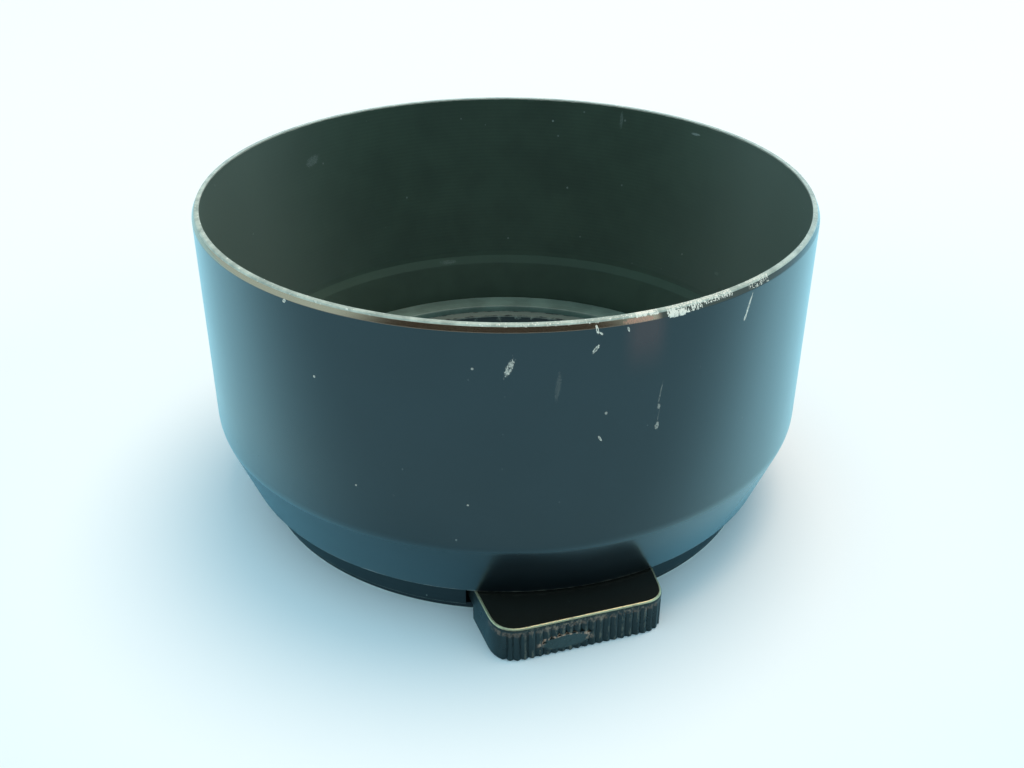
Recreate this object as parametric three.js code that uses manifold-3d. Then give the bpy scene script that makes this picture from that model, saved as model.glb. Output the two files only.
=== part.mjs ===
// Clip-on lens hood with two squeeze tabs, each tab on a pivoted spring-loaded latch arm.
// Millimetres, +Z up. The hood stands on its mounting end, the front tab faces -Y.
import * as THREE from 'three';
import { mergeVertices } from 'three/addons/utils/BufferGeometryUtils.js';
import Module from 'manifold-3d';

const wasm = await Module();
wasm.setup();

// Overall sizes
const HOOD_HEIGHT = 38;
const BORE_R = 27.7; // radius that slips over the front ring of the lens
const TURNED_STEPS = 72; // flats round every turned piece
const FLAT_ANGLE = 360 / TURNED_STEPS;
const CUT_EXTRA = 1; // how far a cut runs past the face it opens

// Mount ring, from the bore outwards
const SLEEVE_WALL = 0.5;
const CHANNEL_WIDTH = 2.4;
const BAND_WALL = 0.6;
const FLANGE_LAP = 0.6;
const SEAT_LIP = 0.7;
const BAND_TO_LIP_GAP = 0.2;
const FLANGE_GAP = 0.1;
const SLEEVE_OUTER_R = BORE_R + SLEEVE_WALL;
const BAND_INNER_R = SLEEVE_OUTER_R + CHANNEL_WIDTH;
const BAND_OUTER_R = BAND_INNER_R + BAND_WALL;
const LIP_BORE_R = BAND_OUTER_R + BAND_TO_LIP_GAP;
const FLANGE_R = BAND_OUTER_R + BAND_TO_LIP_GAP + FLANGE_LAP;
const RECESS_R = FLANGE_R + FLANGE_GAP;
const SEAT_R = BORE_R - SEAT_LIP;

// Heights in the mounting end
const COVER_HEIGHT = 0.9;
const CHANNEL_DEPTH = 3.5;
const LEDGE_OVER_CHANNEL = 0.1;
const LIP_HEIGHT = 1;
const FLANGE_HEIGHT = 1.3;
const SEAT_OVER_LIP = 0.5;
const SEAT_HEIGHT = 1.2;
const LOCK_HEIGHT = 1.2;
const CHANNEL_TOP = COVER_HEIGHT + CHANNEL_DEPTH;
const LEDGE_Z = CHANNEL_TOP + LEDGE_OVER_CHANNEL;
const LIP_TOP = LEDGE_Z + LIP_HEIGHT;
const SEAT_Z = LIP_TOP + SEAT_OVER_LIP;
const SEAT_TOP = SEAT_Z + SEAT_HEIGHT;
const FLANGE_TOP = LIP_TOP + FLANGE_HEIGHT;
const LOCK_TOP = FLANGE_TOP + LOCK_HEIGHT;

// Barrel wall
const LEDGE_WALL = 1;
const CONE_FLARE = 2.9;
const CONE_HEIGHT = 7.7;
const WALL_AT_RIM = 0.85;
const INNER_TAPER = 0.75;
const RIM_BEVEL = 0.35;
const RIM_BEVEL_DROP = 0.7;
const INNER_CONE_FLARE = 1.6;
const INNER_CONE_HEIGHT = 4.9;
const STEP_FLARE = 0.7;
const STEP_HEIGHT = 1.1;
const LEDGE_R = RECESS_R + LEDGE_WALL;
const BODY_R = LEDGE_R + CONE_FLARE;
const CONE_TOP = LEDGE_Z + CONE_HEIGHT;
const INNER_CONE_TOP = LOCK_TOP + INNER_CONE_HEIGHT;
const INNER_WALL_FOOT = INNER_CONE_TOP + STEP_HEIGHT;

// Lock ring
const LOCK_OUTER_R = FLANGE_R;
const LOCK_BORE_OUT = 0.7;
const LOCK_BORE_R = SLEEVE_OUTER_R + LOCK_BORE_OUT;
const LOCK_GAP = 0.1;
const SPANNER_SLOT_WIDTH = 1.6;
const SPANNER_SLOT_DEPTH = 0.6;
const SPANNER_SLOT_LENGTH = 1.5;

// Cover plate and its screws
const COVER_INSET = 0.3;
const COVER_OUTER_R = BAND_OUTER_R - COVER_INSET;
const COVER_CHAMFER = 0.3;
const COVER_NOTCH_WALL = 1.5;
const COVER_SCREW_R = 0.65;
const COVER_SCREW_HEAD_R = 1.05;
const COVER_SCREW_HEAD_HEIGHT = 0.5;
const COVER_SCREW_SUNK = 0.05;
const COVER_SCREW_LENGTH = 3.55;
const COVER_SCREW_MARGIN = 11.25;
const SCREW_GAP = 0.03;
const SCREW_SLOT_WIDTH = 0.3;
const SCREW_SLOT_DEPTH = 0.22;

// Release tab
const TAB_ROOT_WIDTH = 20.1;
const TAB_SHIFT = 0.45; // the tab's middle sits this far towards the pivot
const TAB_LEFT_DRAFT = 0.17;
const TAB_RIGHT_DRAFT = 0.01;
const TAB_LEFT_REACH = 7.55;
const TAB_RIGHT_REACH = 5.35;
const TAB_CORNER = 2.45;
const TAB_FOOT_Z = 0.1;
const TAB_UNDER_LEDGE = 0.15;
const TAB_INSIDE_GAP = 0.2;
const TAB_LIP_GAP = 0.2;
const WINDOW_SIDE_GAP = 0.3;
const RIB_COUNT = 22;
const RIB_DEPTH = 0.22;
const RIB_FIRST = 0.085; // share of the way round the tab's front
const RIB_LAST = 0.97;
const TAB_TOP = LEDGE_Z - TAB_UNDER_LEDGE;
const TAB_ROOT_LEFT_X = TAB_SHIFT - TAB_ROOT_WIDTH / 2;
const TAB_ROOT_RIGHT_X = TAB_SHIFT + TAB_ROOT_WIDTH / 2;
const TAB_INNER_R = BAND_INNER_R - TAB_INSIDE_GAP;
const TAB_LIP_Y = -(BAND_OUTER_R - TAB_LIP_GAP);

// Latch arm
const ARM_COVER_GAP = 0.1;
const ARM_HEIGHT = 1;
const ARM_SLEEVE_GAP = 0.1;
const ARM_NECK_GAP = 0.27;
const PRESS_ANGLE = THREE.MathUtils.degToRad(4);
const PIVOT_TO_TAB = 2.78;
const PIVOT_OUT = CHANNEL_WIDTH * 0.48;
const BOSS_R = CHANNEL_WIDTH * 0.415;
const BOSS_INSIDE = 0.98;
const CLAW_IN = 0.75;
const CLAW_FIRST = 25.5; // degrees round from the pivot
const CLAW_LAST = 40.5;
const CLAW_LEAD_IN = 0.45;
const CLAW_WINDOW_MARGIN = 3.75;
const CLAW_WINDOW_HEADROOM = 0.2;
const CLAW_ROOT = 0.5;
const NECK_OUTER = [[-7.7, 0.1], [-3.7, 0.34]]; // degrees from the pivot, drop from the tab's inside
const NECK_PLACES = [1, 0.75, 0.5, 0.25, 0];
const NECK_PIVOT_MARGIN = 2;
const CHANNEL_START_MARGIN = 1.5;
const CHANNEL_END_MARGIN = 2;
const ARM_TIP = 47;
// Degrees round from the pivot, and the blade's outer edge as a share of the channel.
const ARM_BLADE = [[2, 0.875], [13, 0.73], [25, 0.5], [33, 0.417], [41, 0.333], [ARM_TIP, 0.292]];
const PAD_SIDE_WALL = 1.8;
const PAD_FRONT_WALL = 2.2;
const PAD_GAP = 0.05;
const ARM_Z = COVER_HEIGHT + ARM_COVER_GAP;
const ARM_TOP = ARM_Z + ARM_HEIGHT;
const PIVOT_R = SLEEVE_OUTER_R + PIVOT_OUT;
const PIVOT_X = TAB_ROOT_RIGHT_X + PIVOT_TO_TAB;
const PIVOT_AZ = THREE.MathUtils.radToDeg(Math.asin(PIVOT_X / PIVOT_R));

// Pivot pin and its spacer
const PIN_R = 0.5;
const PIN_PRESS_GAP = 0.02;
const PIN_RUN_GAP = 0.06;
const PIN_FOOT = 0.15;
const PIN_TOP_WALL = 0.3;
const PIN_TOP = LIP_TOP - PIN_TOP_WALL;
const SPACER_R = CHANNEL_WIDTH * 0.39;
const SPACER_END_GAP = 0.05;

// Tab screws
const TAB_SCREW_SPREAD = 5;
const TAB_SCREW_SETBACK = 3.1;
const TAB_SCREW_R = 0.5;
const TAB_SCREW_HEAD_R = 0.95;
const TAB_SCREW_HEAD_HEIGHT = 0.45;
const TAB_SCREW_CAP = 0.55;
const TAB_SCREW_TOP = TAB_TOP - TAB_SCREW_CAP;
const TAB_SCREW_SUNK = 0.05;

// Return spring
const SPRING_OFFSET = 5;
const SPRING_X = TAB_SHIFT - SPRING_OFFSET;
const SPRING_Z = (ARM_TOP + TAB_TOP) / 2;
const SPRING_R = 0.6;
const SPRING_WIRE_R = 0.14;
const SPRING_TURNS = 5;
const SPRING_SEAT_DIP = 0.05;
const SPRING_START_Y = -(SLEEVE_OUTER_R - SPRING_SEAT_DIP);
const SPRING_LENGTH = 4.75;
const SPRING_STEPS_PER_TURN = 8;
const SPRING_WIRE_SEGMENTS = 3;
const POCKET_R = 0.85;
const POCKET_END_GAP = 0.06;
const SMALL_STEPS = 16;

// Angles are taken from -Y towards +X, seen from above.
function around(angle, radius) {
  const turn = THREE.MathUtils.degToRad(angle);
  return [radius * Math.sin(turn), -radius * Math.cos(turn)];
}

function arc(radius, from, to) {
  const steps = Math.max(1, Math.round(Math.abs(to - from) / FLAT_ANGLE));
  const points = [];
  for (let i = 0; i <= steps; i += 1) {
    points.push(around(from + ((to - from) * i) / steps, radius));
  }
  return points;
}

function solidOf(geometry) {
  const plain = geometry.index ? geometry.toNonIndexed() : geometry.clone();
  plain.deleteAttribute('normal');
  plain.deleteAttribute('uv');
  const merged = mergeVertices(plain, 1e-5);
  const mesh = new wasm.Mesh({
    numProp: 3,
    vertProperties: new Float32Array(merged.attributes.position.array),
    triVerts: new Uint32Array(merged.index.array),
  });
  return new wasm.Manifold(mesh);
}

function geometryOf(solid) {
  const mesh = solid.getMesh();
  const geometry = new THREE.BufferGeometry();
  geometry.setAttribute('position', new THREE.BufferAttribute(mesh.vertProperties, 3));
  geometry.setIndex(new THREE.BufferAttribute(mesh.triVerts, 1));
  const flat = geometry.toNonIndexed();
  flat.computeVertexNormals();
  return flat;
}

// A turned solid from a closed outline of [radius, height] points.
function turned(outline) {
  const points = outline.map(([radius, height]) => new THREE.Vector2(radius, height));
  points.push(points[0].clone());
  const geometry = new THREE.LatheGeometry(points, TURNED_STEPS);
  geometry.rotateX(Math.PI / 2);
  return solidOf(geometry);
}

function prism(outline, low, high) {
  const shape = new THREE.Shape(outline.map(([x, y]) => new THREE.Vector2(x, y)));
  const geometry = new THREE.ExtrudeGeometry(shape, { depth: high - low, bevelEnabled: false });
  geometry.translate(0, 0, low);
  return solidOf(geometry);
}

function block(x0, x1, y0, y1, z0, z1) {
  return prism([[x0, y0], [x1, y0], [x1, y1], [x0, y1]], z0, z1);
}

function sector(innerR, outerR, from, to, low, high) {
  return prism([...arc(outerR, from, to), ...arc(innerR, to, from)], low, high);
}

// A solid turned about its own upright axis, from an outline that starts and ends on that axis.
function spun(x, y, outline) {
  const points = outline.map(([radius, height]) => new THREE.Vector2(radius, height));
  const geometry = new THREE.LatheGeometry(points, SMALL_STEPS);
  geometry.rotateX(Math.PI / 2);
  geometry.translate(x, y, 0);
  return solidOf(geometry);
}

function upright(x, y, radius, low, high) {
  return spun(x, y, [[0, low], [radius, low], [radius, high], [0, high]]);
}

function halfTurn(solid) {
  return solid.scale([-1, -1, 1]);
}

function onBothSides(body, cut) {
  return body.subtract(cut).subtract(halfTurn(cut));
}

// The tab's front edge runs straight between its two outer corners.
function tabFrontY(x) {
  const left = tabCorner(TAB_ROOT_LEFT_X, TAB_LEFT_DRAFT, TAB_LEFT_REACH);
  const right = tabCorner(TAB_ROOT_RIGHT_X, -TAB_RIGHT_DRAFT, TAB_RIGHT_REACH);
  return left[1] + ((right[1] - left[1]) * (x - left[0])) / (right[0] - left[0]);
}

function tabCorner(rootX, draft, reach) {
  return [rootX + draft * reach, -(BAND_OUTER_R + reach)];
}

function tabSideX(rootX, draft, y) {
  return rootX - draft * (BAND_OUTER_R + y);
}

function tabInnerCorner(rootX, draft) {
  const x = rootX - draft * (BAND_OUTER_R - TAB_INNER_R * Math.cos(Math.asin(rootX / TAB_INNER_R)));
  return [x, -Math.sqrt(TAB_INNER_R ** 2 - x ** 2)];
}

function tabFrontCurve() {
  const left = new THREE.Vector2(...tabCorner(TAB_ROOT_LEFT_X, TAB_LEFT_DRAFT, TAB_LEFT_REACH));
  const right = new THREE.Vector2(...tabCorner(TAB_ROOT_RIGHT_X, -TAB_RIGHT_DRAFT, TAB_RIGHT_REACH));
  const along = right.clone().sub(left).normalize().multiplyScalar(TAB_CORNER);
  const leftSide = new THREE.Vector2(-TAB_LEFT_DRAFT, 1).normalize().multiplyScalar(TAB_CORNER);
  const rightSide = new THREE.Vector2(TAB_RIGHT_DRAFT, 1).normalize().multiplyScalar(TAB_CORNER);
  const path = new THREE.Path();
  path.moveTo(left.x + leftSide.x, left.y + leftSide.y);
  path.quadraticCurveTo(left.x, left.y, left.x + along.x, left.y + along.y);
  path.lineTo(right.x - along.x, right.y - along.y);
  path.quadraticCurveTo(right.x, right.y, right.x + rightSide.x, right.y + rightSide.y);
  return path;
}

// Upright grip ribs run from the middle of the left corner round to the right side.
function tabFrontPoints() {
  const path = tabFrontCurve();
  const points = [0, RIB_FIRST / 3, (2 * RIB_FIRST) / 3].map((t) => path.getPointAt(t).toArray());
  for (let i = 0; i <= 2 * RIB_COUNT; i += 1) {
    const t = RIB_FIRST + ((RIB_LAST - RIB_FIRST) * i) / (2 * RIB_COUNT);
    const point = path.getPointAt(t);
    const tangent = path.getTangentAt(t);
    const depth = i % 2 === 1 ? 0 : RIB_DEPTH;
    points.push([point.x - tangent.y * depth, point.y + tangent.x * depth]);
  }
  points.push(path.getPointAt(1).toArray());
  return points;
}

function screwSolid(x, y, low, headR, headHeight, shankR, high) {
  const screw = spun(x, y, [[0, low], [headR, low], [shankR, low + headHeight], [shankR, high], [0, high]]);
  const slot = block(
    x - headR - CUT_EXTRA,
    x + headR + CUT_EXTRA,
    y - SCREW_SLOT_WIDTH / 2,
    y + SCREW_SLOT_WIDTH / 2,
    low - CUT_EXTRA,
    low + SCREW_SLOT_DEPTH,
  );
  return screw.subtract(slot);
}

// The hole keeps an even gap round its screw and opens through the face below the head.
function screwHole(x, y, low, headR, headHeight, shankR, high) {
  return spun(x, y, [
    [0, low - CUT_EXTRA],
    [headR + SCREW_GAP, low - CUT_EXTRA],
    [headR + SCREW_GAP, low],
    [shankR + SCREW_GAP, low + headHeight],
    [shankR + SCREW_GAP, high + SCREW_GAP],
    [0, high + SCREW_GAP],
  ]);
}

const channelStart = FLAT_ANGLE * Math.floor((tabLeftAngle() - CHANNEL_START_MARGIN) / FLAT_ANGLE);
const channelEnd = FLAT_ANGLE * Math.ceil((PIVOT_AZ + ARM_TIP + CHANNEL_END_MARGIN) / FLAT_ANGLE);
const coverScrewAngles = [
  channelEnd + COVER_SCREW_MARGIN,
  channelStart + 180 - COVER_SCREW_MARGIN,
  channelEnd + 180 + COVER_SCREW_MARGIN,
  channelStart + 360 - COVER_SCREW_MARGIN,
];
const COVER_SCREW_PLACE_R = (SLEEVE_OUTER_R + BAND_INNER_R) / 2;

function tabLeftAngle() {
  const [x, y] = tabInnerCorner(TAB_ROOT_LEFT_X, TAB_LEFT_DRAFT);
  return THREE.MathUtils.radToDeg(Math.atan2(x - WINDOW_SIDE_GAP, -y));
}

function coverScrewHole(angle) {
  const [x, y] = around(angle, COVER_SCREW_PLACE_R);
  return screwHole(
    x,
    y,
    COVER_SCREW_SUNK,
    COVER_SCREW_HEAD_R,
    COVER_SCREW_HEAD_HEIGHT,
    COVER_SCREW_R,
    COVER_SCREW_SUNK + COVER_SCREW_LENGTH,
  );
}

function coverScrew(angle) {
  const [x, y] = around(angle, COVER_SCREW_PLACE_R);
  return screwSolid(
    x,
    y,
    COVER_SCREW_SUNK,
    COVER_SCREW_HEAD_R,
    COVER_SCREW_HEAD_HEIGHT,
    COVER_SCREW_R,
    COVER_SCREW_SUNK + COVER_SCREW_LENGTH,
  );
}

function hoodBarrel() {
  return turned([
    [LIP_BORE_R, LEDGE_Z],
    [LEDGE_R, LEDGE_Z],
    [BODY_R, CONE_TOP],
    [BODY_R, HOOD_HEIGHT - RIM_BEVEL_DROP],
    [BODY_R - RIM_BEVEL, HOOD_HEIGHT],
    [BODY_R - WALL_AT_RIM, HOOD_HEIGHT],
    [BODY_R - WALL_AT_RIM - INNER_TAPER, INNER_WALL_FOOT],
    [RECESS_R + INNER_CONE_FLARE, INNER_CONE_TOP],
    [RECESS_R, LOCK_TOP],
    [RECESS_R, LIP_TOP],
    [LIP_BORE_R, LIP_TOP],
  ]);
}

function clawWindow() {
  const from = PIVOT_AZ + CLAW_FIRST - CLAW_WINDOW_MARGIN;
  const to = PIVOT_AZ + CLAW_LAST + CLAW_WINDOW_MARGIN;
  const inner = SEAT_R - CUT_EXTRA;
  const outer = SLEEVE_OUTER_R + CHANNEL_WIDTH / 4;
  return sector(inner, outer, from, to, 0, ARM_TOP + CLAW_WINDOW_HEADROOM);
}

// The window keeps an even gap to the tab's sides.
function tabWindow() {
  const outerY = -(BAND_OUTER_R + CUT_EXTRA);
  const left = tabInnerCorner(TAB_ROOT_LEFT_X, TAB_LEFT_DRAFT);
  const right = tabInnerCorner(TAB_ROOT_RIGHT_X, -TAB_RIGHT_DRAFT);
  const leftAngle = THREE.MathUtils.radToDeg(Math.atan2(left[0], -left[1]));
  const rightAngle = THREE.MathUtils.radToDeg(Math.atan2(right[0], -right[1]));
  const outline = [
    [left[0] - WINDOW_SIDE_GAP, left[1]],
    [tabSideX(TAB_ROOT_LEFT_X, TAB_LEFT_DRAFT, outerY) - WINDOW_SIDE_GAP, outerY],
    [tabSideX(TAB_ROOT_RIGHT_X, -TAB_RIGHT_DRAFT, outerY) + WINDOW_SIDE_GAP, outerY],
    [right[0] + WINDOW_SIDE_GAP, right[1]],
    ...arc(TAB_INNER_R, rightAngle, leftAngle),
  ];
  return prism(outline, 0, CHANNEL_TOP);
}

function mountRing() {
  let ring = turned([
    [BORE_R, COVER_HEIGHT],
    [BAND_OUTER_R, COVER_HEIGHT],
    [BAND_OUTER_R, LIP_TOP],
    [FLANGE_R, LIP_TOP],
    [FLANGE_R, FLANGE_TOP],
    [LOCK_BORE_R - LOCK_GAP, FLANGE_TOP],
    [LOCK_BORE_R - LOCK_GAP, SEAT_TOP],
    [SEAT_R, SEAT_TOP],
    [SEAT_R, SEAT_Z],
    [BORE_R, SEAT_Z],
  ]);
  const channel = sector(SLEEVE_OUTER_R, BAND_INNER_R, channelStart, channelEnd, 0, CHANNEL_TOP);
  ring = onBothSides(ring, channel.add(tabWindow()));
  ring = onBothSides(ring, clawWindow());
  const [pivotX, pivotY] = around(PIVOT_AZ, PIVOT_R);
  const pinHoleR = PIN_R + PIN_PRESS_GAP;
  const pinHole = upright(pivotX, pivotY, pinHoleR, COVER_HEIGHT, PIN_TOP + SCREW_GAP);
  ring = onBothSides(ring, pinHole);
  for (const angle of coverScrewAngles) {
    ring = ring.subtract(coverScrewHole(angle));
  }
  return ring;
}

function lockRing() {
  const ring = turned([
    [LOCK_BORE_R, FLANGE_TOP],
    [LOCK_OUTER_R, FLANGE_TOP],
    [LOCK_OUTER_R, LOCK_TOP],
    [LOCK_BORE_R, LOCK_TOP],
  ]);
  const slot = block(
    LOCK_BORE_R - CUT_EXTRA,
    LOCK_BORE_R + SPANNER_SLOT_LENGTH,
    -SPANNER_SLOT_WIDTH / 2,
    SPANNER_SLOT_WIDTH / 2,
    LOCK_TOP - SPANNER_SLOT_DEPTH,
    LOCK_TOP + CUT_EXTRA,
  );
  return onBothSides(ring, slot);
}

function coverPlate() {
  let plate = turned([
    [BORE_R, 0],
    [COVER_OUTER_R - COVER_CHAMFER, 0],
    [COVER_OUTER_R, COVER_CHAMFER],
    [COVER_OUTER_R, COVER_HEIGHT],
    [BORE_R, COVER_HEIGHT],
  ]);
  const half = BORE_R / 2;
  const notchY = -(BORE_R + COVER_NOTCH_WALL);
  const notch = block(-half, half, -BODY_R, notchY, -CUT_EXTRA, COVER_HEIGHT + CUT_EXTRA);
  plate = onBothSides(plate, notch);
  const [pivotX, pivotY] = around(PIVOT_AZ, PIVOT_R);
  const holeR = PIN_R + PIN_PRESS_GAP;
  const pinHole = upright(pivotX, pivotY, holeR, -CUT_EXTRA, COVER_HEIGHT + CUT_EXTRA);
  plate = onBothSides(plate, pinHole);
  for (const angle of coverScrewAngles) {
    plate = plate.subtract(coverScrewHole(angle));
  }
  return plate;
}

// The neck keeps clear of the sleeve when the tab is pressed fully in.
function neckPoint(angle) {
  const x = PIVOT_R * Math.sin(THREE.MathUtils.degToRad(angle));
  return around(angle, SLEEVE_OUTER_R + ARM_NECK_GAP + PRESS_ANGLE * (PIVOT_X - x));
}

function latchArm() {
  const bladeOuter = ARM_BLADE.map(([turn, share]) =>
    around(PIVOT_AZ + turn, SLEEVE_OUTER_R + CHANNEL_WIDTH * share),
  );
  const bladeInner = arc(SLEEVE_OUTER_R + ARM_SLEEVE_GAP, PIVOT_AZ + ARM_TIP, PIVOT_AZ);
  const blade = prism([...bladeOuter, ...bladeInner], ARM_Z, ARM_TOP);
  const [pivotX, pivotY] = around(PIVOT_AZ, PIVOT_R);
  const boss = upright(pivotX, pivotY, BOSS_R, ARM_Z, ARM_TOP);
  const clawFrom = PIVOT_AZ + CLAW_FIRST;
  const clawTo = PIVOT_AZ + CLAW_LAST;
  const clawR = BORE_R - CLAW_IN;
  const claw = sector(clawR, SLEEVE_OUTER_R + CLAW_ROOT, clawFrom, clawTo, ARM_Z, ARM_TOP);
  const leadIn = turned([
    [clawR - CUT_EXTRA, ARM_Z - CUT_EXTRA],
    [clawR + CLAW_LEAD_IN + CUT_EXTRA, ARM_Z - CUT_EXTRA],
    [clawR - CUT_EXTRA, ARM_Z + CLAW_LEAD_IN + CUT_EXTRA],
  ]);
  const padLeft = TAB_ROOT_LEFT_X + PAD_SIDE_WALL;
  const padRight = TAB_ROOT_RIGHT_X - PAD_SIDE_WALL;
  const padLeftAngle = THREE.MathUtils.radToDeg(Math.asin(padLeft / TAB_INNER_R));
  const outline = [
    around(PIVOT_AZ + NECK_PIVOT_MARGIN, SLEEVE_OUTER_R + ARM_SLEEVE_GAP * 3),
    ...NECK_PLACES.map((share) => neckPoint((PIVOT_AZ - NECK_PIVOT_MARGIN) * share)),
    neckPoint(padLeftAngle / 2),
    neckPoint(padLeftAngle),
    [padLeft, tabFrontY(padLeft) + PAD_FRONT_WALL],
    [padRight, tabFrontY(padRight) + PAD_FRONT_WALL],
    [padRight, TAB_LIP_Y],
    ...NECK_OUTER.map(([turn, drop]) => around(PIVOT_AZ + turn, TAB_INNER_R - drop)),
    around(PIVOT_AZ, PIVOT_R + BOSS_R * BOSS_INSIDE),
  ];
  const neck = prism(outline, ARM_Z, ARM_TOP);
  let arm = blade.add(boss).add(claw.subtract(leadIn)).add(neck);
  const holeR = PIN_R + PIN_RUN_GAP;
  arm = arm.subtract(upright(pivotX, pivotY, holeR, 0, CHANNEL_TOP));
  for (const [x, y] of tabScrewPlaces()) {
    arm = arm.subtract(tabScrewHole(x, y));
  }
  return arm;
}

function tabScrewPlaces() {
  return [-TAB_SCREW_SPREAD, TAB_SCREW_SPREAD].map((offset) => {
    const x = TAB_SHIFT + offset;
    return [x, tabFrontY(x) + TAB_SCREW_SETBACK];
  });
}

function tabScrewHole(x, y) {
  return screwHole(
    x,
    y,
    TAB_FOOT_Z + TAB_SCREW_SUNK,
    TAB_SCREW_HEAD_R,
    TAB_SCREW_HEAD_HEIGHT,
    TAB_SCREW_R,
    TAB_SCREW_TOP,
  );
}

function tabScrew([x, y]) {
  return screwSolid(
    x,
    y,
    TAB_FOOT_Z + TAB_SCREW_SUNK,
    TAB_SCREW_HEAD_R,
    TAB_SCREW_HEAD_HEIGHT,
    TAB_SCREW_R,
    TAB_SCREW_TOP,
  );
}

function springPocket() {
  const depth = SPRING_LENGTH + SPRING_WIRE_R + POCKET_END_GAP;
  const geometry = new THREE.CylinderGeometry(POCKET_R, POCKET_R, depth, SMALL_STEPS);
  geometry.translate(SPRING_X, SPRING_START_Y - depth / 2, SPRING_Z);
  return solidOf(geometry);
}

function releaseTab() {
  const left = tabInnerCorner(TAB_ROOT_LEFT_X, TAB_LEFT_DRAFT);
  const right = tabInnerCorner(TAB_ROOT_RIGHT_X, -TAB_RIGHT_DRAFT);
  const leftAngle = THREE.MathUtils.radToDeg(Math.atan2(left[0], -left[1]));
  const rightAngle = THREE.MathUtils.radToDeg(Math.atan2(right[0], -right[1]));
  const inner = arc(TAB_INNER_R, rightAngle, leftAngle);
  let tab = prism([...tabFrontPoints(), ...inner], TAB_FOOT_Z, TAB_TOP);
  tab = tab.subtract(block(-BODY_R, BODY_R, TAB_LIP_Y, 0, 0, ARM_TOP));
  const padLeft = TAB_ROOT_LEFT_X + PAD_SIDE_WALL - PAD_GAP;
  const padRight = TAB_ROOT_RIGHT_X - PAD_SIDE_WALL + PAD_GAP;
  const slot = prism(
    [
      [padLeft, TAB_LIP_Y + CUT_EXTRA],
      [padLeft, tabFrontY(padLeft) + PAD_FRONT_WALL - PAD_GAP],
      [padRight, tabFrontY(padRight) + PAD_FRONT_WALL - PAD_GAP],
      [padRight, TAB_LIP_Y + CUT_EXTRA],
    ],
    ARM_Z,
    ARM_TOP,
  );
  tab = tab.subtract(slot).subtract(springPocket());
  for (const [x, y] of tabScrewPlaces()) {
    tab = tab.subtract(tabScrewHole(x, y));
  }
  return tab;
}

class SpringCurve extends THREE.Curve {
  getPoint(t, target = new THREE.Vector3()) {
    const angle = t * SPRING_TURNS * 2 * Math.PI;
    return target.set(
      SPRING_X + SPRING_R * Math.cos(angle),
      SPRING_START_Y - t * SPRING_LENGTH,
      SPRING_Z + SPRING_R * Math.sin(angle),
    );
  }
}

function returnSpring() {
  const wire = new THREE.Shape();
  wire.absarc(0, 0, SPRING_WIRE_R, 0, 2 * Math.PI);
  const geometry = new THREE.ExtrudeGeometry(wire, {
    extrudePath: new SpringCurve(),
    steps: SPRING_TURNS * SPRING_STEPS_PER_TURN,
    curveSegments: SPRING_WIRE_SEGMENTS,
    bevelEnabled: false,
  });
  return solidOf(geometry);
}

function pivotPin() {
  const [x, y] = around(PIVOT_AZ, PIVOT_R);
  return upright(x, y, PIN_R, PIN_FOOT, PIN_TOP);
}

function pivotSpacer() {
  const [x, y] = around(PIVOT_AZ, PIVOT_R);
  const bore = PIN_R + PIN_RUN_GAP;
  const low = ARM_TOP + SPACER_END_GAP;
  const high = CHANNEL_TOP - SPACER_END_GAP;
  return upright(x, y, SPACER_R, low, high).subtract(upright(x, y, bore, 0, CHANNEL_TOP));
}

const group = new THREE.Group();
group.name = 'lens_hood';

function add(name, solid, color, roughness, metalness) {
  const material = new THREE.MeshStandardMaterial({ color, roughness, metalness });
  const mesh = new THREE.Mesh(geometryOf(solid), material);
  mesh.name = name;
  group.add(mesh);
}

add('hood_barrel', hoodBarrel(), 0x12222b, 0.25, 0.1);
add('mount_ring', mountRing(), 0x1a2428, 0.45, 0.2);
add('lock_ring', lockRing(), 0x222b2b, 0.5, 0.2);
add('cover_plate', coverPlate(), 0x191f22, 0.5, 0.2);
coverScrewAngles.forEach((angle, i) => {
  add(`cover_screw_${i + 1}`, coverScrew(angle), 0x8d8f8a, 0.35, 1);
});
const tabPieces = [
  ['latch_arm', latchArm(), 0xb89a5e, 0.4, 1],
  ['release_tab', releaseTab(), 0x171a16, 0.4, 0.2],
  ['return_spring', returnSpring(), 0x9a9a96, 0.3, 1],
  ['pivot_pin', pivotPin(), 0xa8a8a4, 0.3, 1],
  ['pivot_spacer', pivotSpacer(), 0xc2a25c, 0.4, 1],
];
for (const [name, solid, color, roughness, metalness] of tabPieces) {
  add(`${name}_front`, solid, color, roughness, metalness);
  add(`${name}_back`, halfTurn(solid), color, roughness, metalness);
}
tabScrewPlaces().forEach((place, i) => {
  const screw = tabScrew(place);
  add(`tab_screw_front_${i + 1}`, screw, 0x8d8f8a, 0.35, 1);
  add(`tab_screw_back_${i + 1}`, halfTurn(screw), 0x8d8f8a, 0.35, 1);
});

export default group;
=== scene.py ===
import math

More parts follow.
